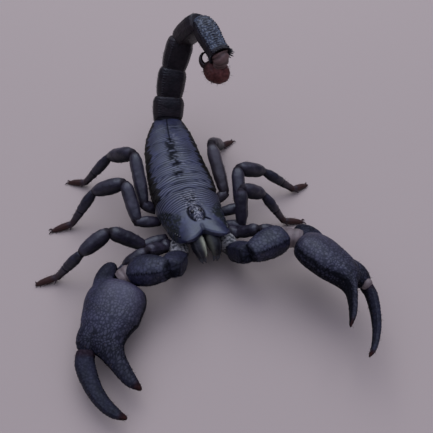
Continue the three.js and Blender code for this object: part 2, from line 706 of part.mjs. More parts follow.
function buildLeg(side, pair, { base, femur, patella, shank, tarsus }, floor, neighbours) {
  const [femurLength, patellaLength, shankLength, tarsusLength] = LEG_LENGTHS[pair];
  const thickness = LEG_THICKNESS[pair];
  const hip = point(...base);
  const femurWay = heading(side, ...femur);
  const patellaWay = heading(side, ...patella);
  const knee = stepFrom(hip, femurWay, femurLength);
  const shin = stepFrom(knee, patellaWay, patellaLength);
  const shankWay = heading(side, shank, pitchTo(ANKLE_HEIGHT, shin, shankLength));
  const ankle = stepFrom(shin, shankWay, shankLength);
  const tarsusWay = heading(side, tarsus, pitchTo(CLAW_HEIGHT, ankle, tarsusLength));
  const claws = stepFrom(ankle, tarsusWay, tarsusLength);

  const coxaEnd = point(bend(hip.y) + SIDES[side] * (COXAE.half_width + 0.6), hip.y * 0.82, 7.6);
  const outwards = hip.clone().sub(coxaEnd).normalize();
  const trochanterRows = [
    [0, 1.5, 1.4, 1.4],
    [0.5, 1.9, 1.9, 1.8],
    [1, 1.4, 1.5, 1.4],
  ];
  const thigh = (grow) => tube(
    new THREE.LineCurve3(hip, knee),
    scaledRows(FEMUR_SHAPE, thickness),
    { rings: 3, sides: 7, grow },
  );
  const trochanter = (grow) => tube(
    new THREE.LineCurve3(coxaEnd, stepFrom(hip, outwards, 0.9)),
    trochanterRows,
    { rings: 2, sides: 6, grow },
  );
  const kneecap = (grow) => tube(
    new THREE.LineCurve3(knee, shin),
    scaledRows(PATELLA_SHAPE, thickness),
    { rings: 3, sides: 7, grow },
  );
  const footSpine = new THREE.CatmullRomCurve3([
    shin,
    stepFrom(shin, shankWay, shankLength * 0.5),
    stepFrom(ankle, shankWay, -0.8),
    stepFrom(ankle, tarsusWay, 0.8),
    claws,
  ]);
  const foot = tube(footSpine, scaledRows(FOOT_SHAPE, thickness), { rings: 7, sides: 7 });
  const name = `leg_${side}_${pair}`;
  addPiece(`${name}_femur`, cutBy(thigh(0).add(trochanter(0)), neighbours), 'leg_shell', hip, femurWay);
  addPiece(`${name}_patella`, kneecap(0).subtract(thigh(JOINT_GAP)), 'leg_shell', knee, patellaWay);
  addPiece(`${name}_foot`, foot.subtract(kneecap(JOINT_GAP)).subtract(floor), 'leg_shell', shin, shankWay);
  return [thigh(JOINT_GAP), trochanter(JOINT_GAP)];
}

function cutBy(body, others) {
  return others.reduce((rest, other) => rest.subtract(other), body);
}

// ---- The whole animal ----

buildHead();
buildTrunk();
buildTail();
const shield = shieldSolid(JOINT_GAP);
const sockets = Object.keys(SIDES).flatMap((side) => buildPalp(side, shield));
buildUnderside(sockets);
const floor = floorBlock();
const neighbours = [shieldSolid(JOINT_GAP), ...sockets];
for (const [side, pairs] of Object.entries(LEG_POSES)) {
  for (const [pair, pose] of Object.entries(pairs)) {
    neighbours.push(...buildLeg(side, pair, pose, floor, neighbours));
  }
}

const group = new THREE.Group();
group.add(scorpion);
group.updateMatrixWorld(true);
const box = new THREE.Box3().setFromObject(scorpion, true);
scorpion.position.set(-(box.min.x + box.max.x) / 2, -(box.min.y + box.max.y) / 2, -box.min.z);

export default group;
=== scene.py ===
"""A large black forest scorpion at life size: its shell plates, soft joints, hairs and finishes, made around
the solid model. Lengths in this file are millimetres in the maker's frame. Its origin is on the floor under
the middle of the head shield's hind edge, -Y is the front, +X the animal's left and +Z up."""

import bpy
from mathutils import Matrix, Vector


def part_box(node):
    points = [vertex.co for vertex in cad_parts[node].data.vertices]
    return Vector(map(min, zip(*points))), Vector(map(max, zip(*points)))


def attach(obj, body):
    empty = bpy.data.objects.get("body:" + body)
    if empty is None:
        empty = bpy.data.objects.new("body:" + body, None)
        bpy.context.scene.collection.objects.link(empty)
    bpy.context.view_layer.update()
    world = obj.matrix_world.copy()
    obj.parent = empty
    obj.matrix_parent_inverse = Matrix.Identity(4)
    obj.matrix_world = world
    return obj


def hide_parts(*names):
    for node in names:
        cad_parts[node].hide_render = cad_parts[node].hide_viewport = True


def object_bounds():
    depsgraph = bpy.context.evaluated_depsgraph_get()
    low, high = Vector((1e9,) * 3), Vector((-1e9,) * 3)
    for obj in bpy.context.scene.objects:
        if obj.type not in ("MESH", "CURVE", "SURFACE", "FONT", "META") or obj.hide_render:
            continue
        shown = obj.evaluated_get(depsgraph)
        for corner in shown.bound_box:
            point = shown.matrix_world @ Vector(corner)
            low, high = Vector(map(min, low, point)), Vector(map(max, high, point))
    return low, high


bl_info = {
    "name": "Forest Scorpion",
    "version": (1, 0, 0),
    "blender": (4, 5, 0),
    "location": "View3D > Sidebar > Scorpion",
    "description": "Dresses the solid model of a large black forest scorpion",
    "category": "Object",
}

from math import asin, ceil, cos, degrees, pi, radians, sin, sqrt

import bpy
import numpy as np
from bpy.props import FloatProperty, FloatVectorProperty, PointerProperty
from mathutils import Vector, noise

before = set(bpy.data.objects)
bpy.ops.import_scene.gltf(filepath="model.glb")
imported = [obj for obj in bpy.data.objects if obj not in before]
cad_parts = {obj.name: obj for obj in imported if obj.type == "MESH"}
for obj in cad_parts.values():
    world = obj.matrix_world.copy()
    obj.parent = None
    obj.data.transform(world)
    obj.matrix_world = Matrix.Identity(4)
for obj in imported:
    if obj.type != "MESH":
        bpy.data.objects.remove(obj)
SOLID_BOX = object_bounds()

# ---- Named sizes ----

SIDES = {"left": 1, "right": -1}
UP = np.array([0.0, 0.0, 1.0])
BACK = np.array([0.0, 1.0, 0.0])

# The trunk's middle line is a parabola about this point, and steeper behind it.
BEND_X, BEND_Y, BEND_FRONT, BEND_HIND = -1.85, 14, 0.0019, 0.0026

CARAPACE_LENGTH = 20.0
# Rows of the shield and the trunk: y, half width, top, rim and bottom.
CARAPACE_ROWS = [
    [-20.0, 6.4, 16.2, 15.3, 14.8],
    [-18.5, 7.9, 16.8, 13.7, 13.0],
    [-15.5, 8.8, 17.2, 11.8, 11.0],
    [-8, 10.0, 17.7, 10.5, 9.7],
    [0, 11.1, 18.3, 10.2, 9.4],
]
# The notch in the middle of the shield's front edge.
NOTCH_DEPTH, NOTCH_HALF_WIDTH = 3.0, 5.4
EYE_APART, EYE_Y, EYE_Z = 2.4, -10.4, 18.1

RING_LENGTHS = [3.2, 4.3, 5.6, 6.6, 7.4, 8.3, 9.6]
MESOSOMA_ROWS = [
    [0, 11.1, 18.3, 12.2, 7.6],
    [6, 11.6, 18.8, 12.2, 7.2],
    [14, 11.3, 19.0, 12.2, 7.2],
    [22, 10.7, 18.9, 12.3, 7.4],
    [30, 10.0, 18.5, 12.5, 7.9],
    [37, 8.6, 17.9, 13.0, 8.8],
    [45, 5.9, 17.0, 13.9, 10.4],
]

TAIL_START = np.array([1.0, 45.7, 14.1])
# Tail rings: length, half width, half depth, curl upwards and lean to the left in degrees.
TAIL_SEGMENTS = [
    [9.8, 5.8, 4.7, 61, 12],
    [10.8, 5.2, 4.5, 67, 17],
    [11.3, 4.8, 4.3, 79, 22],
    [12.5, 4.3, 3.9, 128, 27],
    [16.0, 3.7, 3.4, 204, 13],
]
# Along a ring or a limb: share of length, then width, inner or upper height, outer or lower height.
SEGMENT_SHAPE = [
    [0, 0.8, 0.78, 0.78],
    [0.12, 0.92, 0.9, 0.9],
    [0.32, 1.0, 0.99, 0.98],
    [0.6, 1.03, 1.02, 1.0],
    [0.86, 1.0, 0.98, 0.97],
    [1, 0.86, 0.86, 0.86],
]
LAST_SEGMENT_SHAPE = [
    [0, 0.74, 0.74, 0.74],
    [0.12, 0.9, 0.92, 0.94],
    [0.35, 1.12, 1.04, 1.06],
    [0.7, 1.04, 1.0, 1.0],
    [0.9, 1.0, 1.0, 1.0],
    [1, 1.08, 1.06, 1.06],
]

PALP_FEMUR, PALP_PATELLA = 15.0, 15.2
# Each arm's base, the sweep and pitch of its parts in degrees, the roll of its hand, and how its hand departs
# from the plain one: the fingers' swing, its offset, its width, the fingers' width and their lift.
PALP_POSES = {
    "right": {
        "base": [-8.3, -18.7, 7.4], "femur": (-66.6, 36.1), "patella": (28.5, -20.5), "hand": (-57.6, -9),
        "roll": 1, "swing": 0, "offset": (0, 0), "width": 1.0, "finger": 1.0, "lift": (0, 0),
    },
    "left": {
        "base": [9.05, -19.05, 6.1], "femur": (-81.7, 41.9), "patella": (17.6, 0), "hand": (-57, -4.6),
        "roll": 26, "swing": 1.7, "offset": (0.75, 0.35), "width": 0.82, "finger": 0.5, "lift": (-8.2, -5.5),
    },
}
# Middle lines of palm and movable finger: along the hand from the wrist, and outwards.
PALM_LINE = [
    [3.0, -0.6], [6.0, -0.9], [10, -1.3], [14, -1.9], [18, -2.6],
    [21.5, -4.3], [24.6, -7.2], [27.4, -10.8], [29.6, -14.2], [31.0, -17.6],
]
# Along palm and finger: share of length, half width, height of the back and of the underside.
PALM_ROWS = [
    [0, 4.2, 3.0, 2.7],
    [0.07, 7.3, 4.4, 3.8],
    [0.16, 8.8, 5.2, 4.4],
    [0.3, 8.6, 5.2, 4.4],
    [0.42, 7.7, 4.7, 4.0],
    [0.52, 5.9, 3.9, 3.4],
    [0.62, 3.5, 2.9, 2.6],
    [0.72, 2.5, 2.2, 2.0],
    [0.83, 2.0, 1.8, 1.6],
    [0.92, 1.5, 1.35, 1.2],
    [1, 0.5, 0.5, 0.5],
]
# Two swellings of the hand: their place along and outwards, and their half sizes.
BASAL_LOBE = {"at": (4.0, 4.8), "half": (5.9, 3.0, 3.6)}
KNUCKLE = {"at": (20.6, 0.8), "half": (6.0, 4.2, 3.6)}
# The fingers' lift is reached this far beyond the knuckle.
FINGER_REACH = 15
FINGER_LINE = [
    [26.0, 0.4], [28.1, -0.2], [30.1, -1.6], [34.3, -5.9], [37.0, -10.1], [38.3, -13.8], [38.7, -16.9],
]
FINGER_ROWS = [
    [0, 2.6, 2.1, 1.9],
    [0.2, 2.5, 1.95, 1.8],
    [0.48, 2.0, 1.65, 1.5],
    [0.7, 1.65, 1.4, 1.25],
    [0.87, 1.2, 1.05, 0.95],
    [1, 0.4, 0.4, 0.4],
]

# Each pair's lengths of femur, patella, shank and tarsus.
LEG_LENGTHS = {
    1: [8.6, 8.6, 10.6, 6.4],
    2: [12.6, 11.0, 13.3, 7.3],
    3: [13.9, 12.3, 14.7, 7.6],
    4: [18.2, 14.0, 17.0, 7.6],
}
LEG_THICKNESS = {1: 0.96, 2: 1.12, 3: 1.18, 4: 1.2}
ANKLE_HEIGHT, CLAW_HEIGHT = 2.2, 0.35
# Each leg's base, the sweep and pitch of femur and patella, and the sweeps of shank and tarsus.
LEG_POSES = {
    ("right", 1): ([-12.2, -13.6, 7.4], (-35, 35), (-6, -26), -34, -34),
    ("right", 2): ([-18.4, -11.8, 8.6], (8, 38.5), (-16, -24), 7, 2),
    ("right", 3): ([-18.9, -2.1, 9.9], (82, 36), (17, -22), -10, 0),
    ("right", 4): ([-15.4, 5.0, 10.3], (90, 38.5), (47, -28), 18, 30),
    ("left", 1): ([12.2, -13.6, 7.4], (-35, 35), (-6, -26), 6, 2),
    ("left", 2): ([14.4, -11.0, 8.0], (77, 62), (13, -35), -32, -4),
    ("left", 3): ([16.2, -3.4, 9.1], (79, 33), (10, -26), -13, 22),
    ("left", 4): ([12.8, 3.8, 9.7], (95, 39), (59, -37), 71, 35),
}
FEMUR_SHAPE = [[0, 1.3, 1.3, 1.3], [0.2, 1.65, 1.8, 1.8], [0.6, 1.75, 2.1, 2.1], [0.88, 1.6, 1.8, 1.8],
               [1, 1.0, 1.1, 1.1]]
PATELLA_SHAPE = [[0, 1.1, 1.2, 1.2], [0.2, 1.65, 1.95, 1.95], [0.55, 1.8, 2.15, 2.15], [0.85, 1.5, 1.75, 1.7],
                 [1, 1.0, 1.1, 1.1]]
SHANK_SHAPE = [[0, 0.95, 1.05, 1.05], [0.2, 1.3, 1.5, 1.5], [0.6, 1.15, 1.3, 1.3], [0.85, 0.97, 1.02, 1.02],
               [1, 0.9, 0.95, 0.95]]
TARSUS_SHAPE = [[0, 0.85, 0.9, 0.9], [0.3, 0.95, 1.0, 1.0], [0.7, 0.85, 0.85, 0.85], [1, 0.5, 0.35, 0.6]]


# ---- Shapes ----

def unit(vector):
    return vector / np.linalg.norm(vector)


def bend(y):
    """The trunk's middle line, which curves gently towards the animal's left."""
    y = np.asarray(y, float)
    rate = np.where(y < BEND_Y, BEND_FRONT, BEND_HIND)
    return BEND_X + rate * (y - BEND_Y) ** 2


def beside(x, y, z):
    """A point at x to the left of the trunk's middle line."""
    return np.array([float(bend(y)) + x, y, z])


SHIELD_LOW, SHIELD_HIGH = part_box("carapace")
ORIGIN = np.array([(SHIELD_LOW.x + SHIELD_HIGH.x) * 500 - float(bend(0)), SHIELD_HIGH.y * 1000, 0.0])
SKINS = {}
BRISTLES = {}
CHANCE = np.random.default_rng(7)


def step(low, high, value):
    """0 below low, 1 above high, smooth between them."""
    t = np.clip((value - low) / (high - low), 0, 1)
    return t * t * (3 - 2 * t)


def fade(low, high, value):
    """1 below low, 0 above high, smooth between them."""
    return 1 - step(low, high, value)


def hump(value, middle, width):
    """1 at the middle, and next to nothing two widths away."""
    return np.exp(-(((value - middle) / width) ** 2))


def curve(t, span, start, leave, end, arrive):
    """A cubic between two values with given slopes."""
    return (
        (2 * t**3 - 3 * t**2 + 1) * start + (t**3 - 2 * t**2 + t) * span * leave
        + (3 * t**2 - 2 * t**3) * end + (t**3 - t**2) * span * arrive
    )


def between(rows):
    """Smooth values between rows of [place, value, value, ...]."""
    table = np.array(rows, float)
    places, values = table[:, 0], table[:, 1:]
    slopes = np.gradient(values, places, axis=0)

    def at(place):
        place = np.clip(np.asarray(place, float), places[0], places[-1])
        low = np.clip(np.searchsorted(places, place, side="right") - 1, 0, len(places) - 2)
        span = (places[low + 1] - places[low])[:, None]
        t = (place - places[low])[:, None] / span
        return curve(t, span, values[low], slopes[low], values[low + 1], slopes[low + 1])

    return at


class Spine:
    """A smooth curve through points, read by its share of length."""

    def __init__(self, points):
        points = np.array(points, float)
        line = np.vstack([2 * points[0] - points[1], points, 2 * points[-1] - points[-2]])
        samples = []
        for i in range(1, len(line) - 2):
            before, start, end, after = line[i - 1:i + 3]
            gaps = ((before, start), (start, end), (end, after))
            near, here, far = (max(np.linalg.norm(b - a), 1e-6) ** 0.5 for a, b in gaps)
            leave = (start - before) / near - (end - before) / (near + here) + (end - start) / here
            arrive = (end - start) / here - (after - start) / (here + far) + (after - end) / far
            part = curve(np.linspace(0, 1, 33)[:, None], 1, start, leave * here, end, arrive * here)
            samples.append(part if i == 1 else part[1:])
        self.points = np.vstack(samples)
        steps = np.linalg.norm(np.diff(self.points, axis=0), axis=1)
        self.share = np.concatenate([[0], np.cumsum(steps)])
        self.share /= self.share[-1]

    def at(self, share):
        return np.stack([np.interp(share, self.share, self.points[:, k]) for k in range(3)], axis=-1)

    def way(self, share):
        share = np.asarray(share, float)
        ahead = self.at(np.clip(share + 0.01, 0, 1)) - self.at(np.clip(share - 0.01, 0, 1))
        return ahead / np.linalg.norm(ahead, axis=-1, keepdims=True)


def section(angle, power):
    """A rounded box's outline: how far across and how high it is at each angle."""
    across, rise = np.cos(angle), np.sin(angle)
    return np.sign(across) * np.abs(across) ** (2 / power), np.sign(rise) * np.abs(rise) ** (2 / power)


def places_of(piece, what="co"):
    flat = np.zeros(len(piece.data.vertices) * 3, np.float32)
    piece.data.vertices.foreach_get(what, flat)
    return flat.reshape(-1, 3).astype(float)


def made_places(piece):
    return places_of(piece) * 1000 - ORIGIN


def set_places(piece, places, marks=None):
    """Moves a piece's vertices to places in the maker's frame, within the solid model's box, and stores the
    marks that the finishes read: tone for a second colour, a pale mark that holds pale colouring, dust and
    painted highlights, and a dark mark that holds the piece's own dark parts and painted shade."""
    metres = np.clip((places + ORIGIN) / 1000, SOLID_BOX[0], SOLID_BOX[1])
    piece.data.vertices.foreach_set("co", metres.astype(np.float32).ravel())
    for name, level in {"tone": 0.0, "pale_and_highlight": 0.0, "shade_and_dark": 0.0, **(marks or {})}.items():
        attributes = piece.data.attributes
        store = attributes.get(name) or attributes.new(name, "FLOAT", "POINT")
        store.data.foreach_set("value", (np.zeros(len(places)) + level).astype(np.float32))
    piece.data.update()


def ball(name, segments, rings):
    """A new closed ball with its poles at both ends of Z, and its vertices as an array."""
    bpy.ops.object.select_all(action="DESELECT")
    bpy.ops.mesh.primitive_uv_sphere_add(segments=segments, ring_count=rings, radius=1.0)
    piece = bpy.context.object
    piece.name = name
    return piece, places_of(piece)


def spread(ball_places, caps):
    """Share along a tube, angle around it, and reach from its middle line for each vertex of a ball."""
    share = 0.5 - np.arcsin(np.clip(ball_places[:, 2], -1, 1)) / pi
    angle = np.arctan2(ball_places[:, 1], ball_places[:, 0])
    first, last = caps
    reach = np.clip(np.minimum(share / first, (1 - share) / last), 0, 1)
    along = np.clip((share - first) / (1 - first - last), 0, 1)
    return share, along, angle, reach


def tube(name, spine, rows, up=UP, power=2.2, furrow=0.0, detail=None, segments=48, rings=40,
         caps=(0.1, 0.1), bulge=(0.3, 0.3)):
    """A closed tube along a spine. Its rows hold [share, half width, height above, height below]."""
    if not isinstance(spine, Spine):
        spine = Spine(spine)
    piece, places = ball(name, segments, rings)
    share, along, angle, reach = spread(places, caps)
    middle, way = spine.at(along), spine.way(along)
    sideways = np.cross(way, up)
    sideways /= np.linalg.norm(sideways, axis=1, keepdims=True)
    upwards = np.cross(sideways, way)
    half_width, above, below = between(rows)(along).T
    across, rise = section(angle, power)
    height = np.where(rise > 0, above * (1 - furrow * np.abs(rise) ** 6), below)
    dome = np.sqrt(np.clip(1 - reach**2, 0, 1))
    push = np.where(share < 0.5, -bulge[0], bulge[1]) * dome
    made = (
        middle + sideways * (reach * across * half_width)[:, None]
        + upwards * (reach * rise * height)[:, None] + way * push[:, None]
    )
    marks = None
    if detail is not None:
        normal = sideways * (across / half_width)[:, None] + upwards * (rise / height)[:, None]
        normal /= np.linalg.norm(normal, axis=1, keepdims=True) + 1e-9
        raised, marks = detail(along, angle, made)
        made = made + normal * (raised * step(0.6, 1, reach))[:, None]
    set_places(piece, made, marks)
    SKINS[name] = along, angle, reach, way
    return piece


def egg(name, centre, half, axes, segments=40, rings=28):
    """A ball stretched by half sizes along three axes."""
    piece, places = ball(name, segments, rings)
    set_places(piece, centre + (places * np.array(half)) @ np.array(axes))
    return piece


TRUNK_CAP = 0.08


def trunk(name, rows, front, hind, detail, segments, rings, power):
    """A length of the trunk. Its rows hold [y, half width, top, rim, bottom]."""
    piece, places = ball(name, segments, rings)
    _, along, angle, reach = spread(places, (TRUNK_CAP, TRUNK_CAP))
    y = front + (hind - front) * along
    half_width, top, rim, bottom = between(rows)(y).T
    across, rise = section(angle, power)
    height = np.where(rise > 0, top - rim, rim - bottom)
    made, marks = detail(along, across, rise, reach, y, half_width, rim, height)
    set_places(piece, made, marks)
    return piece


def pick(*pieces):
    bpy.ops.object.select_all(action="DESELECT")
    for piece in pieces:
        piece.select_set(True)
    bpy.context.view_layer.objects.active = pieces[0]


def joined(name, pieces):
    pick(*pieces)
    bpy.ops.object.join()
    piece = bpy.context.object
    piece.name = name
    return piece


# Cell size of a welded body, and how often it is softened.
WELDS = {"palm": (0.18, 14), "bulb": (0.17, 10)}


def weld(name, pieces, kind):
    """One closed body from overlapping pieces, with its creases softened."""
    cell, rounds = WELDS[kind]
    piece = joined(name, pieces)
    remesh = piece.modifiers.new("one body", "REMESH")
    remesh.mode = "VOXEL"
    remesh.voxel_size = cell / 1000
    bpy.ops.object.modifier_apply(modifier=remesh.name)
    soften = piece.modifiers.new("soften", "SMOOTH")
    soften.factor = 0.5
    soften.iterations = rounds
    bpy.ops.object.modifier_apply(modifier=soften.name)
    return piece


def beads(places, size, height, seed=0.0):
    """Rounded granules: how far each place is raised."""
    shift = Vector((seed, seed * 1.7, seed * 0.6))
    near = np.array([noise.voronoi(Vector(p) / size + shift)[0][0] for p in places])
    return height * np.clip(1 - (near / 0.62) ** 2, 0, 1)


def cells(places, size, seed):
    """Flat little plates: 0 in the grooves between them and 1 on each plate."""
    shift = Vector((seed, seed * 1.3, seed * 0.4))
    nearest = np.array([noise.voronoi(Vector(p) / size + shift)[0][:2] for p in places])
    return step(0.03, 0.34, nearest[:, 1] - nearest[:, 0])


def ripple(places, size, height, seed=0.0):
    """Soft unevenness, up and down by the height."""
    shift = Vector((seed, seed * 0.7, seed * 1.3))
    return height * np.array([noise.noise(Vector(p) / size + shift) for p in places])


BEAD_PITCH = 0.85


def keels(along, angle, ridges, length, width=0.13):
    """Beaded ridges along a tube: each of them is (angle in degrees, height)."""
    total = np.zeros_like(along)
    for number, (place, height) in enumerate(ridges):
        apart = (angle - radians(place) + pi) % (2 * pi) - pi
        bead = 0.68 + 0.32 * np.cos(2 * pi * along * length / BEAD_PITCH + number * 1.9)
        total += height * hump(apart, 0, width) * bead
    return total * step(0.03, 0.14, along) * (1 - 0.6 * step(0.95, 1, along))


def heading(side, sweep, pitch):
    """The way of a limb's part: sweep turns it back from sideways, and pitch lifts it."""
    level, sweep = cos(radians(pitch)), radians(sweep)
    return np.array([SIDES[side] * level * cos(sweep), level * sin(sweep), sin(radians(pitch))])


# Bristles of each kind of piece: how many, how long, and how flat they lie (0 upright, 1 along the piece).
COATS = {
    "jaw": (26, 1.0, 0.75), "bulb": (170, 1.25, 0.25),
    "tail ring": (26, 1.2, 0.55), "last tail ring": (60, 1.0, 0.55),
    "thigh": (20, 1.0, 0.5), "forearm": (24, 1.0, 0.5), "palm": (70, 0.9, 0.4), "finger": (40, 0.8, 0.45),
    "femur": (10, 0.9, 0.5), "knee": (12, 0.9, 0.5), "tarsus": (26, 0.75, 0.45), "shank": (24, 0.85, 0.5),
}
BRISTLE_TILT = 0.14
BRISTLE_LENGTHS = (0.6, 1.2)


def plant(group, piece, coat, where=None):
    """Chooses the roots of a piece's bristles: places, ways, lengths, and homes on its unwrapped skin."""
    count, length, lie = COATS[coat]
    along, angle, reach, way = SKINS[piece.name]
    weight = (reach > 0.95) * (1.0 if where is None else where(along))
    chosen = CHANCE.choice(len(along), count, replace=False, p=weight / weight.sum())
    ways = places_of(piece, "normal")[chosen] * (1 - lie) + way[chosen] * lie
    ways = ways + CHANCE.normal(0, BRISTLE_TILT, (count, 3))
    homes = np.stack([angle[chosen] / (2 * pi) % 1, along[chosen]], axis=1)
    lengths = length * CHANCE.uniform(*BRISTLE_LENGTHS, count)
    BRISTLES.setdefault(group, []).append((made_places(piece)[chosen], ways, lengths, homes))


# ---- Finishes ----

FINISHES = {}
BLACK, SILVER = (0.006, 0.005, 0.007), (0.17, 0.17, 0.21)
# Colour of the dark mark: the piece's own dark parts and painted shade alike.
SHADE_AND_DARK_COLOUR = (0.003, 0.003, 0.005)
GLOSS_TINT = (0.84, 0.92, 1.0, 1)
RELIEF_DISTANCE = 0.0004
# Clouds of the finishes: waves per metre, octaves of detail and, for the folds, distortion.
SOFT_CLOUDS, FINE_CLOUDS, EYE_CLOUDS = (130.0, 5.0), (520.0, 3.0), (2500.0, 2.0)
SHALLOW_DENTS, GRAIN = (420.0, 2.0), (1500.0, 4.0)
SKIN_FOLDS, SKIN_PATCHES = (700.0, 6.0, 0.6), (260.0, 3.0)


def times(colour, factor):
    return tuple(v * factor for v in colour)


class Mixer:
    """The nodes of one material or world, and the steps that several of them share."""

    def __init__(self, owner):
        owner.use_nodes = True
        self.nodes, self.link = owner.node_tree.nodes, owner.node_tree.links.new

    def clouds(self, scale, detail, distortion=0.0):
        """Soft noise on the piece's own coordinates."""
        place = self.nodes.new("ShaderNodeTexCoord")
        cloud = self.nodes.new("ShaderNodeTexNoise")
        for socket, number in (("Scale", scale), ("Detail", detail), ("Distortion", distortion)):
            cloud.inputs[socket].default_value = number
        self.link(place.outputs["Object"], cloud.inputs["Vector"])
        return cloud.outputs["Fac"]

    def mark(self, name):
        reader = self.nodes.new("ShaderNodeAttribute")
        reader.attribute_name = name
        return reader.outputs["Fac"]

    def ranged(self, value, low, high, to_low=0.0, to_high=1.0):
        spread_out = self.nodes.new("ShaderNodeMapRange")
        for socket, number in zip(("From Min", "From Max", "To Min", "To Max"), (low, high, to_low, to_high)):
            spread_out.inputs[socket].default_value = number
        self.link(value, spread_out.inputs["Value"])
        return spread_out.outputs["Result"]

    def mixed(self, share, first, second):
        """A colour between two others. Each is either three numbers or another node's colour."""
        blend = self.nodes.new("ShaderNodeMix")
        blend.data_type = "RGBA"
        self.link(share, blend.inputs[0])
        for socket, colour in ((blend.inputs[6], first), (blend.inputs[7], second)):
            if isinstance(colour, tuple):
                socket.default_value = (*colour, 1)
            else:
                self.link(colour, socket)
        return blend.outputs[2]

    def summed(self, value, share, rest):
        """value times share, plus rest."""
        both = self.nodes.new("ShaderNodeMath")
        both.operation = "MULTIPLY_ADD"
        both.inputs[1].default_value = share
        self.link(value, both.inputs[0])
        self.link(rest, both.inputs[2])
        return both.outputs["Value"]

    def relief(self, height, strength, skin):
        bump = self.nodes.new("ShaderNodeBump")
        bump.inputs["Strength"].default_value = strength
        bump.inputs["Distance"].default_value = RELIEF_DISTANCE
        self.link(height, bump.inputs["Height"])
        self.link(bump.outputs["Normal"], skin.inputs["Normal"])


def new_finish(name):
    material = bpy.data.materials.new(name)
    mixer = Mixer(material)
    return material, mixer, mixer.nodes["Principled BSDF"]


def shell_finish(name, dark, pale, other, pale_and_highlight, roughness, gloss, bump):
    """Chitin: two close colours in soft clouds, others where the piece's marks say so, and a fine grain. The
    dark mark paints shade as well as the piece's own dark parts, and the pale mark paints highlights as well
    as pale colouring. Spots under the dark mark and toned spots are duller."""
    material, mix, skin = new_finish(name)
    tone, shade_and_dark = mix.mark("tone"), mix.mark("shade_and_dark")
    cloud, fine = mix.clouds(*SOFT_CLOUDS), mix.clouds(*FINE_CLOUDS)
    colour = mix.mixed(mix.ranged(cloud, 0.36, 0.66), dark, pale)
    colour = mix.mixed(mix.ranged(fine, 0.34, 0.60, 0.55), times(dark, 0.3), colour)
    for share, paint in ((mix.mark("pale_and_highlight"), pale_and_highlight), (tone, other), (shade_and_dark, SHADE_AND_DARK_COLOUR)):
        colour = mix.mixed(share, colour, paint)
    mix.link(colour, skin.inputs["Base Color"])
    rough = mix.ranged(cloud, 0.3, 0.7, roughness - 0.06, roughness + 0.1)
    mix.link(mix.summed(shade_and_dark, 0.35, mix.summed(tone, 0.16, rough)), skin.inputs["Roughness"])
    mix.relief(mix.summed(mix.clouds(*SHALLOW_DENTS), 0.7, mix.clouds(*GRAIN)), bump, skin)
    dull = mix.ranged(mix.summed(tone, 0.6, shade_and_dark), 0.0, 1.0, gloss, gloss * 0.15)
    mix.link(dull, skin.inputs["Specular IOR Level"])
    skin.inputs["Specular Tint"].default_value = GLOSS_TINT
    return material


def soft_finish(name, pale, deep):
    """Bare joint skin: pale folds with painted shade in the creases."""
    material, mix, skin = new_finish(name)
    folds = mix.clouds(*SKIN_FOLDS)
    colour = mix.mixed(folds, deep, pale)
    colour = mix.mixed(mix.ranged(mix.clouds(*SKIN_PATCHES), 0.3, 0.7), colour, times(pale, 0.6))
    colour = mix.mixed(mix.mark("shade_and_dark"), colour, times(deep, 0.3))
    mix.link(colour, skin.inputs["Base Color"])
    mix.relief(folds, 0.5, skin)
    skin.inputs["Roughness"].default_value = 0.5
    return material


def eye_finish(name):
    """Glossy black under a clear coat."""
    material, mix, skin = new_finish(name)
    colour = mix.mixed(mix.clouds(*EYE_CLOUDS), (0.003, 0.003, 0.004), (0.007, 0.007, 0.01))
    mix.link(colour, skin.inputs["Base Color"])
    skin.inputs["Roughness"].default_value = 0.06
    skin.inputs["Coat Weight"].default_value = 0.6
    return material


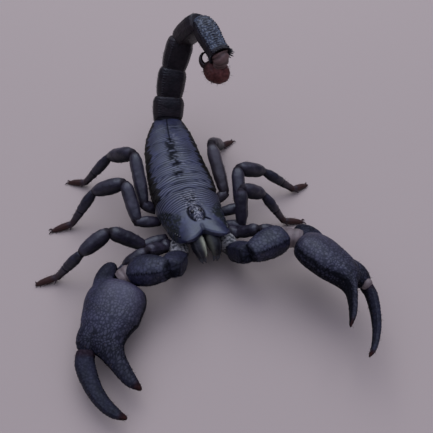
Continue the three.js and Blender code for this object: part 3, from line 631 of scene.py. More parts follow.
def make_finishes(settings):
    shell, hand, skin = (
        tuple(colour) for colour in (settings.shell_colour, settings.hand_colour, settings.skin_colour)
    )
    # The two clouded colours, the toned colour and the pale colour for pale parts, dust and painted
    # highlights, then roughness, gloss and the grain's strength.
    shells = {
        "shield": (shell, times(shell, 2.0), (0.008, 0.010, 0.008), (0.26, 0.25, 0.28), 0.33, 0.66, 0.14),
        "ring": (shell, times(shell, 2.2), (0.009, 0.006, 0.004), SILVER, 0.32, 0.55, 0.2),
        "tail": ((0.008, 0.005, 0.008), (0.020, 0.012, 0.015), (0.02, 0.012, 0.01), (0.10, 0.085, 0.08),
                 0.37, 0.33, 0.35),
        # The tail tip's blue colours are a painted sky sheen for the face of the last ring that turns up, and
        # its pale colour paints highlights on the grains there.
        "tail tip": ((0.013, 0.019, 0.042), (0.030, 0.044, 0.080), (0.006, 0.003, 0.007), (0.09, 0.11, 0.16),
                     0.34, 0.5, 0.3),
        "hand": (hand, times(hand, 1.9), (0.05, 0.014, 0.010), (0.095, 0.082, 0.125), 0.42, 0.56, 0.3),
        "leg": ((0.012, 0.010, 0.021), (0.032, 0.026, 0.045), (0.042, 0.016, 0.013), (0.12, 0.09, 0.08),
                0.35, 0.48, 0.25),
        "jaw": (BLACK, (0.014, 0.012, 0.017), (0.42, 0.43, 0.32), (0.10, 0.10, 0.11), 0.42, 0.3, 0.2),
        "hip": ((0.016, 0.016, 0.019), (0.07, 0.068, 0.072), BLACK, (0.30, 0.29, 0.29), 0.45, 0.4, 0.3),
        "bulb": ((0.070, 0.017, 0.014), (0.19, 0.056, 0.048), (0.010, 0.005, 0.005), (0.14, 0.09, 0.08),
                 0.5, 0.3, 0.35),
        "sting": ((0.012, 0.004, 0.004), (0.026, 0.009, 0.008), BLACK, SILVER, 0.36, 0.25, 0.1),
        "hair": ((0.030, 0.016, 0.010), (0.06, 0.035, 0.022), BLACK, SILVER, 0.45, 0.4, 0.05),
    }
    for name, recipe in shells.items():
        FINISHES[name] = shell_finish(f"scorpion {name}", *recipe)
    FINISHES["skin"] = soft_finish("joint skin", skin, times(skin, 0.45))
    FINISHES["vent skin"] = soft_finish("vent skin", (0.25, 0.15, 0.14), (0.07, 0.028, 0.026))
    FINISHES["red skin"] = soft_finish("finger joint skin", (0.12, 0.05, 0.04), (0.05, 0.018, 0.014))
    FINISHES["eye"] = eye_finish("eye")


def dress(piece, finish, slot, *nodes):
    """Gives a finished piece its material and its body, and hides the solids that it stands for. Its slot is
    not used.
    """
    piece.data.materials.clear()
    piece.data.materials.append(FINISHES[finish])
    pick(piece)
    bpy.ops.object.shade_smooth()
    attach(piece, "root")
    if nodes:
        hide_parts(*nodes)


# ---- Head ----

WRINKLE_PITCH, WRINKLE_BOW, WRINKLE_HEIGHT = 0.95, 0.024, 0.07
SIDE_EYE_RADIUS = 0.34
# The left side's three small eyes: x from the trunk's middle line, y and z.
SIDE_EYES = [(7.6, -17.3, 15.4), (8.0, -16.2, 14.9), (8.3, -15.0, 14.3)]
JAW_X = 2.45
# A jaw's middle line: share of JAW_X, y and z.
JAW_LINE = [(1, -13.6, 12.4), (1, -18, 12.1), (1, -20.6, 10.8), (0.9, -22.0, 9.1)]
JAW_ROWS = [[0, 1.7, 1.9, 1.9], [0.35, 2.2, 2.6, 2.6], [0.7, 2.15, 2.45, 2.45], [1, 1.3, 1.4, 1.5]]
# Each finger of a jaw: how far inwards it starts, and its thickness.
JAW_FINGERS = [(0.55, 0.6), (-0.5, 0.68)]


def wrinkles(u, y):
    """Fine wrinkles across the trunk, which bow with it."""
    wander = np.array([noise.noise(Vector((a / 4.5, b / 3.0, 2.0))) for a, b in zip(u, y)])
    return WRINKLE_HEIGHT * np.sin(2 * pi * (y + WRINKLE_BOW * u**2 + 0.5 * wander) / WRINKLE_PITCH)


def eye_ring(u, y):
    """1 on the oval furrow round the eyes' mound, less within it."""
    return np.sqrt((u / 2.45) ** 2 + ((y - EYE_Y) / 3.5) ** 2)


def shield_grooves(u, y):
    """Depths of the furrow round the eyes, of the front's middle line and of the fork behind the eyes."""
    back = y - EYE_Y
    furrow = hump(eye_ring(u, y), 1, 0.12) * step(0.7, 1.3, np.abs(u)) * fade(2.4, 3.4, back)
    spur = hump(np.abs(u) - 1.9 + 1.1 * (back + 2.2), 0, 0.4) * fade(-2.6, -2.0, back)
    furrow = 0.55 * np.clip(furrow + spur * step(-4.0, -3.2, back) * (u > 0), 0, 1)
    median = 0.22 * hump(u, 0, 0.3) * step(-17.2, -16.6, y) * fade(-15.2, -14.6, y)
    fork = 0.3 * hump(np.abs(u), 0.4 * (y + 6.6), 0.4) * step(-6.4, -5.6, y) * fade(-2.2, -1.2, y)
    return furrow, median, fork


def make_carapace():
    def shape(along, across, rise, reach, y, half_width, rim, height):
        u = reach * across * half_width
        dip = NOTCH_DEPTH * np.clip(1 - np.abs(u) / NOTCH_HALF_WIDTH, 0, 1) ** 2
        y = y * (CARAPACE_LENGTH - dip) / CARAPACE_LENGTH
        back = y - EYE_Y
        top = step(0.05, 0.35, rise) * step(0.5, 1.0, reach)
        mound = 0.95 * np.exp(-(((u / 1.8) ** 2 + (back / 2.6) ** 2) ** 1.4))
        furrow, median, fork = shield_grooves(u, y)
        brow = 0.14 * hump(along, 0.035, 0.03) * step(0.1, 0.4, rise)
        hind = step(-10.0, -6.5, y)
        waves = wrinkles(u, y)
        z = rim + reach * rise * height
        z = z + top * (mound - furrow - median - fork + waves * hind) + brow
        made = np.stack([bend(y) + u, y, z], axis=1)

        outside = np.abs(u) - 4.3 - np.maximum(-0.5 * back, 0.8 * back)
        flank = step(-0.5, 1.0, outside) * step(0.5, 1, reach)
        granules = beads(made, 0.85, 0.24, 3.0)
        made[:, 0] += granules * flank * np.sign(across) * 0.7
        made[:, 2] += granules * flank * 0.7
        middle = top * fade(0.8, 1.1, eye_ring(u, y)) + top * hump(u, 0, 2.4) * step(0.0, 2.0, back)
        middle *= 1 - 0.5 * step(-4.0, -1.5, y)
        pearls = beads(made, 0.62, 1.0, 9.0)
        made[:, 2] += 0.16 * pearls * np.clip(middle, 0, 1)

        # Painted highlights on the pearls and on the wrinkles' crests, and painted shade in the furrows,
        # along the middle line, in the fork, between the pearls and in the wrinkles' troughs.
        shine = 1.3 * step(0.4, 0.8, pearls) * np.clip(middle, 0, 1)
        dark = top * (2.2 * furrow + 1.6 * median + 1.3 * fork) + 0.35 * middle * (pearls < 0.25)
        return made, {
            "tone": np.clip(0.95 * flank * (0.55 + 0.45 * (granules < 0.08)), 0, 1),
            "pale_and_highlight": np.clip(shine + 0.3 * step(0.02, 0.07, waves) * hind * top, 0, 1),
            "shade_and_dark": np.clip(dark + 0.7 * step(0.01, 0.06, -waves) * hind * top, 0, 1),
        }

    shield = trunk("carapace_shell", CARAPACE_ROWS, -CARAPACE_LENGTH, 0.0, shape, 200, 140, 2.3)
    dress(shield, "shield", "shell", "carapace")


def make_eyes(settings):
    def eyeball(name, place, radius, segments, rings):
        return egg(name, place, [radius] * 3, np.eye(3), segments, rings)

    for side, sign in SIDES.items():
        centre = beside(sign * EYE_APART / 2, EYE_Y, EYE_Z)
        eye = eyeball(f"median_eye_{side}", centre, settings.eye_radius * 1000, 32, 20)
        dress(eye, "eye", "eye", f"eye_{side}")
        small = [
            eyeball(f"lateral_eye_{side}_{number}", beside(sign * x, y, z), SIDE_EYE_RADIUS, 16, 12)
            for number, (x, y, z) in enumerate(SIDE_EYES)
        ]
        dress(joined(f"lateral_eyes_{side}", small), "eye", "eye")


def make_chelicerae():
    def horn(along, angle, made):
        return ripple(made, 0.8, 0.05), {
            "pale_and_highlight": 0.55 * step(0.1, 0.5, along), "shade_and_dark": 0.6 * step(0.8, 1, along),
        }

    for side, sign in SIDES.items():
        x = sign * JAW_X
        pale = 1.0 if side == "right" else 0.15

        def streak(along, angle, made):
            upper = np.sin(angle) > -0.4
            inner = hump(sign * np.cos(angle), 0.62, 0.34) * step(0.3, 0.5, along) * upper
            edge = hump(-np.cos(angle) * sign, 0.6, 0.1) * (np.sin(angle) > 0)
            return beads(made, 0.8, 0.08, 1.0) + ripple(made, 1.6, 0.12), {
                "tone": inner * pale, "pale_and_highlight": 0.35 * edge, "shade_and_dark": 0.5 * fade(0.1, 0.45, along),
            }

        spine = [beside(x * share, y, z) for share, y, z in JAW_LINE]
        jaw = tube(f"chelicera_{side}_hand", spine, JAW_ROWS, detail=streak, segments=56, rings=60)
        plant(f"jaw_bristles_{side}", jaw, "jaw", lambda along: step(0.5, 0.9, along))
        dress(jaw, "jaw", "jaw_shell", f"chelicera_{side}")
        fingers = []
        for number, (inset, thick) in enumerate(JAW_FINGERS):
            base = beside(x * 0.93, -21.2, 9.6) - [sign * inset, 0, 0]
            line = [base, base + [-sign * 0.1, -1.0, -1.2], base + [-sign * 0.5, -1.3 - 0.2 * number, -2.5]]
            rows = [[0, *[thick * 1.3] * 3], [0.6, *[thick] * 3], [1, *[0.16] * 3]]
            finger = tube(f"chelicera_{side}_finger_{number}", line, rows, detail=horn, segments=24, rings=24)
            fingers.append(finger)
        dress(joined(f"chelicera_{side}_fingers", fingers), "jaw", "jaw_shell")


# ---- Trunk ----

GAP_IN_FRONT, GAP_BEHIND = 0.02, 0.05
COXAE_ROWS = [
    [-13.6, 5.95, 9.1, 7.95, 6.6], [-8, 8.8, 9.1, 7.95, 6.0],
    [0, 9.6, 9.1, 7.95, 6.0], [6.5, 7.7, 9.1, 7.95, 6.8],
]
# Seams between the hips: y at the middle, and how much it changes outwards.
COXAE_SEAMS = [(-10.5, 0.25), (-6.0, 0.1), (-1.8, -0.05), (2.4, -0.2)]
COMB_TEETH, COMB_Y, COMB_Z = 12, 9.2, 6.4


def make_rings():
    front = 0.0
    count = len(RING_LENGTHS)
    for index, length in enumerate(RING_LENGTHS):
        tuck = 0.5 if index < count - 1 else 0.0

        def shape(along, across, rise, reach, y, half_width, rim, height):
            lip = 0.12 * hump(along, 0.94, 0.05)
            shelf = -0.5 * fade(0.0, 0.16 + 0.8 / length, along)
            fold = -0.09 * half_width * hump(np.abs(across), 1, 0.035)
            top = step(0.2, 0.55, rise) * step(0.7, 1, reach)
            flat_u = reach * across * half_width
            swell = (shelf + lip) * step(0.5, 1, reach) + wrinkles(flat_u, y) * top * (1 - 0.4 * index / 6)
            u = flat_u * (1 + (swell + fold) / half_width)
            y = y + tuck * along * step(0.0, 0.8, rise) * step(0.4, 1, reach)
            z = rim + reach * rise * (height + swell)
            made = np.stack([bend(y) + u, y, z], axis=1)

            ragged = 0.09 * np.sin(y * 1.9 + 2 * np.sin(y * 0.7)) * np.sin(y * 0.83 + np.sign(across))
            flank = step(0.74, 0.80, np.abs(across) + ragged) * step(0.5, 1, reach)
            made[:, 0] += beads(made, 0.8, 0.16, index * 3.0) * flank * np.sign(across)
            # The dark blotches and the dark middle line are a painted reflection of the raised tail in the
            # glossy back; the blotches also carry raised granules.
            blotch = step(-0.16, 0.06, ripple(made, 1.25, 1.0, 4.0)) * np.exp(-(((u + 0.4) / 1.8) ** 4)) * top
            blotch *= step(4, 9, y) * (1 - 0.8 * step(27, 31, y))
            line = hump(u, 0, 0.28) * top * step(25, 29, y)
            # Pale patches beside the middle are painted highlights on slight swellings.
            glint_patches = step(0.05, 0.35, ripple(made, 1.2, 1.0, 8.0)) * hump(u, 1.9, 1.5) * top
            glint_patches *= step(4, 9, y) * fade(30, 34, y)
            made[:, 2] += beads(made, 0.7, 0.16, index + 5.0) * blotch + 0.08 * glint_patches - 0.12 * line
            # Painted shade at each ring's front, where it lies under the ring before it, and in the wrinkles'
            # troughs; painted highlights on their crests.
            seam = fade(0.0, 0.07, along) * step(0.5, 1, reach)
            waves = wrinkles(flat_u, y)
            troughs = step(0.01, 0.06, -waves) * top * (1 - index / 9)
            crests = step(0.03, 0.07, waves) * top * (1 - index / 9)
            return made, {
                "tone": np.clip(flank, 0, 1),
                "pale_and_highlight": np.clip(0.5 * glint_patches + 0.5 * crests, 0, 1),
                "shade_and_dark": np.clip(0.9 * blotch + 0.9 * line + 0.8 * seam + 0.75 * troughs, 0, 1),
            }

        hind = front + length
        ring = trunk(f"trunk_ring_{index + 1}", MESOSOMA_ROWS, front + GAP_IN_FRONT, hind - GAP_BEHIND,
                     shape, 150, 74, 2.2)
        dress(ring, "ring", "shell", f"mesosoma_{index + 1}")
        front = hind


def make_underside():
    def shape(along, across, rise, reach, y, half_width, rim, height):
        u = reach * across * half_width
        seams = np.zeros_like(u)
        for place, slant in COXAE_SEAMS:
            seams += hump(y - place - slant * np.abs(u), 0, 0.35)
        seams = np.clip(seams + hump(u, 0, 0.4), 0, 1)
        under = step(0.1, 0.5, -rise) * step(0.5, 1, reach)
        z = rim + reach * rise * height + 0.35 * under * seams
        return np.stack([bend(y) + u, y, z], axis=1), {"shade_and_dark": 0.7 * seams * under}

    block = trunk("coxae_block", COXAE_ROWS, COXAE_ROWS[0][0], COXAE_ROWS[-1][0], shape, 96, 70, 3)
    dress(block, "shield", "shell", "coxosternum")
    for side, sign in SIDES.items():
        root = beside(sign * 1.2, COMB_Y, COMB_Z)
        tip = root + [sign * 8.55, 4.0, 0]
        bar = [[0, 1.04, 0.45, 0.45], [0.5, 0.94, 0.45, 0.45], [1, 0.57, 0.4, 0.4]]
        parts = [tube(f"comb_{side}", [root, tip], bar, segments=24, rings=20)]
        for number in range(COMB_TEETH):
            foot = root + (tip - root) * (number + 0.8) / (COMB_TEETH + 0.6)
            tooth = [foot, foot + [sign * 0.4, 1.75 - 0.05 * number, -0.1]]
            parts.append(tube(f"tooth_{side}_{number}", tooth, [[0, 0.26, 0.26, 0.26], [1, 0.3, 0.26, 0.26]],
                              segments=10, rings=10, caps=(0.2, 0.2)))
        dress(joined(f"comb_{side}_with_teeth", parts), "hip", "jaw_shell", f"pectine_{side}")


# ---- Tail ----

# Ridges round a tail ring: the angle in degrees and the height of each.
RING_RIDGES = [
    (52, 0.22), (128, 0.22), (14, 0.18), (166, 0.18), (-38, 0.16), (-142, 0.16), (-72, 0.12), (-108, 0.12),
]
LAST_RING_RIDGES = [(40, 0.2), (140, 0.2), (8, 0.26), (172, 0.26), (-42, 0.4), (-138, 0.4), (-90, 0.3)]
NECK_DEPTH = 0.12
CREST_SPIKES, CREST_START, CREST_SPAN = 19, -208, 236
BULB_HALF = [4.25, 5.0, 4.05]
BULB_NECK_ROWS = [[0, 1.45, 1.45, 1.45], [1, 2.9, 2.7, 2.7]]
BULB_TAPER_ROWS = [[0, 3.2, 3.1, 3.1], [0.7, 2.3, 2.2, 2.2], [1, 1.35, 1.35, 1.35]]
STING_ROWS = [[0, 1.2, 1.2, 1.2], [0.35, 0.76, 0.76, 0.76], [0.7, 0.44, 0.44, 0.44], [1, 0.1, 0.1, 0.1]]
SPIKE_ROWS = [[0, 0.5, 0.45, 0.45], [1, 0.08, 0.08, 0.08]]


def tail_frame(curl, lean):
    """The way of a tail ring, and the way from its middle line to the arch's inside."""
    level = cos(radians(lean))
    way = np.array([sin(radians(lean)), level * cos(radians(curl)), level * sin(radians(curl))])
    inner = np.array([0, -sin(radians(curl)), cos(radians(curl))])
    return way, inner


def make_tail():
    start, before = TAIL_START.copy(), BACK
    for index, (length, half_width, half_depth, curl, lean) in enumerate(TAIL_SEGMENTS):
        way, inner = tail_frame(curl, lean)
        last = index == len(TAIL_SEGMENTS) - 1
        ridges = LAST_RING_RIDGES if last else RING_RIDGES

        def detail(along, angle, made):
            ridge = keels(along, angle, ridges, length)
            grains = beads(made, 0.85, 1.0, index * 2.0)
            under = step(0.1, 0.6, -np.sin(angle)) if last else 0.3
            neck = fade(0.08, 0.13, along) * NECK_DEPTH
            raised = ridge + 0.14 * grains * under * step(0.15, 0.4, along)
            raised = raised + 0.1 * hump(along, 0.94, 0.03) - neck
            if not last:
                line = hump(along, 0.975, 0.010) + 0.7 * hump(along, 0.13, 0.012)
                return raised, {"pale_and_highlight": np.clip(0.25 * line, 0, 1), "shade_and_dark": 0.5 * neck / NECK_DEPTH}
            # The face that turns up to the sky gets a painted sky sheen, the tail tip's blue colours, with
            # pale painted highlights on its grains. The rest of the ring and its keels take the dark toned
            # colour.
            sky_facing_sheen = step(0.35, 0.75, -np.sin(angle)) * fade(0.86, 0.93, along)
            scraped = 1 - 0.85 * step(0.10, 0.26, ridge)
            dark = 1 - sky_facing_sheen * scraped * (0.35 + 0.65 * step(0.1, 0.5, grains))
            return raised, {"tone": dark, "pale_and_highlight": 0.5 * sky_facing_sheen * (grains > 0.5)}

        rows = [
            [share, wide * half_width, inside * half_depth, outside * half_depth]
            for share, wide, inside, outside in (LAST_SEGMENT_SHAPE if last else SEGMENT_SHAPE)
        ]
        spine = [start - before * 1.2, start + way * 1.4, start + way * length]
        ring = tube(f"tail_ring_{index + 1}", spine, rows, up=inner, power=2.6, furrow=0.1, detail=detail,
                    segments=120, rings=120, caps=(0.07, 0.07), bulge=(0.4, -0.6 if last else 0.1))
        plant("tail_bristles", ring, "last tail ring" if last else "tail ring")
        dress(ring, "tail tip" if last else "tail", "tail_shell", f"metasoma_{index + 1}")
        start, before = start + way * length, way
    make_tail_end(start, way, inner)


def make_tail_end(end, way, inner):
    """The vent's skin, the spiky crest round it, and the bulb with its sting."""
    right = unit(np.cross(inner, way))
    _, half_width, half_depth = TAIL_SEGMENTS[-1][:3]

    def at(along, inwards, rightwards):
        return end + way * along + inner * inwards + right * rightwards

    def folds(along, angle, made):
        # Painted shade in the troughs of the creases.
        crease = np.sin(along * 26 + 1.4 * np.sin(angle * 2))
        return 0.14 * crease + ripple(made, 1.1, 0.2), {"shade_and_dark": 0.6 * step(0.0, 0.8, -crease)}

    collar_rows = [
        [0, half_depth * 0.82, half_width * 0.84, half_width * 0.84], [0.35, 2.5, 2.9, 2.9],
        [0.75, 1.8, 2.5, 2.5], [1, 1.6, 2.2, 2.2],
    ]
    collar = tube("vent_skin", [at(-1.0, 0.0, 0), at(0.5, 0.7, 0), at(0.9, 2.6, 0.2), at(0.7, 4.3, 0.5)],
                  collar_rows, up=right, detail=folds, segments=48, rings=48)
    dress(collar, "vent skin", "membrane")
    spikes = []
    for number in range(CREST_SPIKES):
        angle = radians(CREST_START + CREST_SPAN * number / (CREST_SPIKES - 1))
        size = 0.85 + 0.9 * max(0.0, -cos(angle)) * (0.7 + 0.3 * (number % 2))
        out = right * cos(angle) * half_width + inner * sin(angle) * half_depth
        root = at(-0.7, 0, 0) + out
        spike = [root - unit(out) * 0.3, root + (unit(out) * 0.8 + way * 0.95) * size]
        spikes.append(tube(f"crest_{number}", spike, SPIKE_ROWS, segments=12, rings=12, bulge=(0.1, 0.05)))
    dress(joined("tail_crest", spikes), "tail", "tail_shell")

    middle, taper_end = at(0.6, 7.1, 0.9), at(-3.2, 6.9, 3.9)
    axis = unit(taper_end - middle)
    turn = Vector(BACK).rotation_difference(Vector(axis))
    axes = [turn @ Vector((1, 0, 0)), turn @ Vector((0, 1, 0)), turn @ Vector((0, 0, 1))]
    bulb = weld("poison_bulb", [
        egg("bulb_body", middle, BULB_HALF, axes),
        tube("bulb_neck", [at(0.2, 2.4, -0.4), middle], BULB_NECK_ROWS, up=right),
        tube("bulb_taper", [middle, taper_end], BULB_TAPER_ROWS, up=right),
    ], "bulb")
    places, normals = made_places(bulb), places_of(bulb, "normal")
    along = (places - middle) @ axis
    warts = beads(places, 1.0, 1.0, 4.0)
    rough = fade(1.0, 4.0, along)
    raised = (0.17 * warts + 0.1 * np.sin(places @ right * 1.9)) * rough
    set_places(bulb, places + normals * raised[:, None], {
        "tone": np.clip(step(2.2, 5.0, along) + 0.3 * (warts < 0.2) * rough, 0, 1),
        "pale_and_highlight": 0.12 * (warts > 0.75) * rough,
    })
    angle = np.arctan2((places - middle) @ axes[2], (places - middle) @ axes[0])
    SKINS["poison_bulb"] = (along + 6) / 12, angle, np.ones(len(places)), np.tile(axis, (len(places), 1))
    plant("sting_bristles", bulb, "bulb", lambda along: along < 0.85)
    dress(bulb, "bulb", "vesicle", "telson_vesicle")

    a, b, c, d = taper_end - axis * 0.3, at(-5.4, 6.8, 5.7), at(-8.6, 4.6, 3.0), at(-6.4, 5.2, 0.9)
    hook = [
        a * (1 - t)**3 + 3 * b * t * (1 - t)**2 + 3 * c * t**2 * (1 - t) + d * t**3
        for t in np.linspace(0, 1, 12)
    ]
    sting = tube("sting_point", hook, STING_ROWS, up=inner, segments=32, rings=48)
    dress(sting, "sting", "sting", "telson_sting")


# ---- Pedipalps ----

CUFF_LENGTH = 2.6
HIP_ROWS = [[0, 2.2, 2.0, 2.0], [0.4, 2.9, 2.6, 2.6], [0.8, 2.9, 2.8, 2.7], [1, 2.3, 2.2, 2.2]]
THIGH_ROWS = [
    [0, 2.2, 2.1, 2.1], [0.16, 2.9, 2.8, 2.7], [0.6, 3.5, 3.2, 3.0], [0.9, 3.3, 3.0, 2.8],
    [1, 2.8, 2.5, 2.3],
]
FOREARM_ROWS = [
    [0, 2.6, 2.5, 2.2], [0.16, 3.3, 3.1, 2.7], [0.58, 4.4, 4.0, 3.3], [0.86, 4.1, 3.8, 3.2],
    [1, 3.5, 3.2, 2.9],
]
WRIST_ROWS = [[0, 2.6, 2.6, 2.4], [0.5, 3.0, 3.1, 2.4], [1, 2.8, 3.2, 2.4]]
ARM_KEELS = [(38, 0.3), (142, 0.3), (-35, 0.28), (-145, 0.28)]
FINGER_KEELS = [(60, 0.16), (120, 0.16), (0, 0.14), (180, 0.14)]
# How strongly the little plates show at the hand's root, and how much more in front.
PLATE_CONTRAST = {"right": (0.25, 0.75), "left": (0.6, 0.4)}
FINGER_SKIN = {"right": "red skin", "left": "skin"}
PALM_DRAWN_BACK = 2.3


def arm_detail(along, angle, made):
    """Beaded keels and little plates, with painted shade in the grooves between the plates and underneath,
    and darker on the keels and at both ends.
    """
    edge = keels(along, angle, ARM_KEELS, 14, 0.16)
    plates = cells(made, 1.15, 2.0)
    upper = step(-0.3, 0.4, np.sin(angle))
    ends = 1 - step(0.0, 0.1, along) * (1 - 0.6 * step(0.93, 1.0, along))
    dark = 0.4 * (1 - plates) + 2.0 * edge + 0.6 * ends + 0.3 * (1 - upper)
    return edge + 0.1 * plates * (1.3 - upper), {"shade_and_dark": np.clip(dark, 0, 1)}


def hip_detail(along, angle, made):
    """Pale specks on top, and painted shade underneath."""
    specks = beads(made, 0.8, 1.0, 6.0)
    pale = 0.95 * step(-0.2, 0.5, np.sin(angle)) * step(0.03, 0.11, specks)
    return 0.16 * specks + ripple(made, 2.0, 0.25), {
        "pale_and_highlight": np.clip(pale, 0, 1), "shade_and_dark": 0.6 * step(0.1, 0.5, -np.sin(angle)),
    }


def finger_detail(along, angle, made):
    ridge = keels(along, angle, FINGER_KEELS, 22, 0.2)
    plates = cells(made, 0.9, 3.0)
    # Darker all over, with painted shade underneath and in the grooves between the plates.
    dark = 0.45 + 0.22 * (1 - plates) + 0.5 * fade(-0.2, 0.5, np.sin(angle))
    return ridge + 0.07 * plates, {
        "tone": np.clip(step(0.88, 0.98, along) + 0.5 * fade(0.03, 0.12, along), 0, 1),
        "shade_and_dark": np.clip(dark, 0, 0.95),
    }


def wrist_detail(along, angle, made):
    # Painted shade in the troughs of the creases.
    crease = np.sin(along * 17 + 0.8 * np.sin(angle))
    return 0.1 * crease + ripple(made, 1.3, 0.12), {"shade_and_dark": 0.3 * step(0.3, 0.95, -crease)}


class Hand:
    """Where a hand's points are: along the hand from the wrist, outwards and off its back."""

    def __init__(self, side, wrist, way):
        sign, self.pose = SIDES[side], PALP_POSES[side]
        level = unit(np.cross(way, UP)) * -sign
        turn = radians(-sign * self.pose["roll"])
        self.wrist, self.way = wrist, way
        self.outward = level * cos(turn) + np.cross(way, level) * sin(turn)
        self.off_back = np.cross(way, self.outward) * sign
        self.axes = [way, np.cross(self.off_back, way), self.off_back]

    def at(self, place, lift=0.0):
        """A point of the hand. The fingers swing about the knuckle, and lift more towards their tips."""
        pivot, pose = KNUCKLE["at"][0], self.pose
        along, out = place
        beyond = max(0.0, along - pivot)
        x, y = along - pivot, out
        if beyond > 0:
            swing = radians(pose["swing"])
            x, y = x * cos(swing) + y * sin(swing), y * cos(swing) - x * sin(swing)
        return (
            self.wrist + self.way * (pivot + x + pose["offset"][0]) + self.outward * (y + pose["offset"][1])
            + self.off_back * lift * (beyond / FINGER_REACH) ** 2
        )

    def swelling(self, name, sizes):
        return egg(name, self.at(sizes["at"]), sizes["half"], self.axes, 64, 44)


def make_palm(side, hand, name, bristles):
    pose = hand.pose
    spine = Spine([hand.at(place, pose["lift"][0]) for place in PALM_LINE])
    rows = [
        [p, w * pose["width"] * (1 + (pose["finger"] - 1) * min(max((p - 0.5) / 0.12, 0), 1)), a, b]
        for p, w, a, b in PALM_ROWS
    ]
    palm = weld(f"{name}_palm", [
        tube(f"{name}_body", spine, rows, up=hand.off_back, power=2.15, segments=96, rings=96),
        hand.swelling(f"{name}_lobe", BASAL_LOBE),
        hand.swelling(f"{name}_knuckle", KNUCKLE),
    ], "palm")
    places, normals = made_places(palm), places_of(palm, "normal")
    local = places - hand.wrist
    drawn = PALM_DRAWN_BACK * fade(-1.0, 6.5, local @ hand.way) * fade(1.2, 3.2, local @ hand.outward)
    places = places + drawn[:, None] * hand.way
    local = places - hand.wrist
    along, out = local @ hand.way - pose["offset"][0], local @ hand.outward - pose["offset"][1]
    back = normals @ hand.off_back
    root, front = PLATE_CONTRAST[side]
    contrast = root + front * step(4, 20, along)
    stretched = places - np.outer(local @ hand.way, hand.way) * 0.35 * step(20, 25, along)[:, None]
    plates = cells(stretched, 0.86, 8.0)
    tip = np.linalg.norm(places - spine.at(np.array([1.0])), axis=1)
    # Painted light on the hand: shade along its sides, in the grooves between the plates and underneath, and
    # a pale sheen on its back.
    edge = hump(back, 0.12, 0.16)
    lobe = step(1.5, 3.5, out) * fade(3.5, 8.5, along)
    lower = 0.5 * step(17, 27, along) + 0.6 * lobe
    dark = 0.5 * (1 - plates) * contrast * (1 - 0.6 * step(22, 29, along)) + 0.8 * edge
    sheen = (0.5 - 0.45 * contrast) * step(0.3, 0.8, back) * fade(0.5, 3.5, out)
    raised = 0.09 * plates * contrast + 0.12 * edge * beads(places, 0.9, 1.0, 5.0)
    set_places(palm, places + normals * raised[:, None], {
        "tone": fade(0.8, 3.2, tip),
        "shade_and_dark": np.clip(dark + 0.7 * fade(-0.35, 0.15, back) + lower, 0, 0.96),
        "pale_and_highlight": np.clip(sheen + 0.14 * plates, 0, 1),
    })
    angle, ways = np.arctan2(back, out), np.tile(hand.way, (len(places), 1))
    SKINS[palm.name] = along / 40, angle, np.ones(len(places)), ways
    plant(bristles, palm, "palm", lambda along: 0.15 + (along > 0.5))
    dress(palm, "hand", "hand_shell", f"{name}_hand")


def make_palp(side):
    sign, pose = SIDES[side], PALP_POSES[side]
    name, bristles = f"pedipalp_{side}", f"hand_bristles_{side}"
    base = np.array(pose["base"])
    thigh_way, knee_way, hand_way = (heading(side, *pose[part]) for part in ("femur", "patella", "hand"))
    elbow = base + thigh_way * PALP_FEMUR
    wrist = elbow + knee_way * PALP_PATELLA
    cuff = wrist - knee_way * CUFF_LENGTH

    body_end = [float(bend(-12)) + sign * 6.6, -11.2, 7.6]
    hip = tube(f"{name}_hip", [body_end, base], HIP_ROWS, detail=hip_detail, segments=56, rings=56)
    dress(hip, "hip", "jaw_shell", f"{name}_trochanter")
    for part, line, rows, node in (
        ("thigh", [base, elbow], THIGH_ROWS, "femur"), ("forearm", [elbow, cuff], FOREARM_ROWS, "patella"),
    ):
        piece = tube(f"{name}_{part}", line, rows, power=2.6, detail=arm_detail, segments=90, rings=90,
                     caps=(0.05, 0.05), bulge=(0.2, 0.1))
        plant(bristles, piece, part)
        dress(piece, "hand", "shell", f"{name}_{node}")

    hand = Hand(side, wrist, hand_way)
    make_palm(side, hand, name, bristles)
    finger = tube(f"{name}_thumb", [hand.at(place, pose["lift"][1]) for place in FINGER_LINE],
                  [[p, w * pose["finger"], a, b] for p, w, a, b in FINGER_ROWS], up=hand.off_back,
                  detail=finger_detail, segments=64, rings=110, caps=(0.06, 0.06), bulge=(0.5, 0.2))
    plant(bristles, finger, "finger")
    dress(finger, "hand", "hand_shell", f"{name}_finger")
    joint_half = [1.5, 2.45 * pose["finger"] ** 0.6, 1.9]
    joint = egg(f"{name}_finger_skin", hand.at((26.2, 0.1)), joint_half, hand.axes)
    dress(joint, FINGER_SKIN[side], "membrane")
    palm_root = hand.at((3.2, 0))
    wrist_line = [cuff - knee_way, cuff + (palm_root - cuff) * 0.45, palm_root]
    skin = tube(f"{name}_wrist_skin", wrist_line, WRIST_ROWS, detail=wrist_detail, segments=56, rings=56)
    dress(skin, "skin", "membrane", f"{name}_wrist")


# ---- Legs ----

SOCKET_ROWS = [[0, 1.5, 1.4, 1.4], [0.5, 1.9, 1.9, 1.8], [1, 1.4, 1.5, 1.4]]
THORN_ROWS = [[0, 0.32, 0.32, 0.32], [0.6, 0.24, 0.24, 0.24], [1, 0.06, 0.06, 0.06]]
SPINE_ROWS = [[0, 0.14, 0.14, 0.14], [1, 0.04, 0.04, 0.04]]
FOOT_SPINES = 4
# The hindmost left leg is dustier than the rest, and left shanks are paler and browner than right ones.
DUST = {("left", 4): 0.22}
PLAIN_DUST = 0.05
SHANK_TONE = {"right": 0.4, "left": 0.75}
SHANK_WEAR = {"right": 0.12, "left": 0.3}


def foot_detail(along, angle, made):
    return ripple(made, 1.2, 0.07), {"tone": 0.35 + 0.65 * step(0.0, 0.35, along)}


def claw_detail(along, angle, made):
    return 0 * along, {"tone": 1 - 0.6 * along, "shade_and_dark": 0.5 * step(0.5, 1, along)}


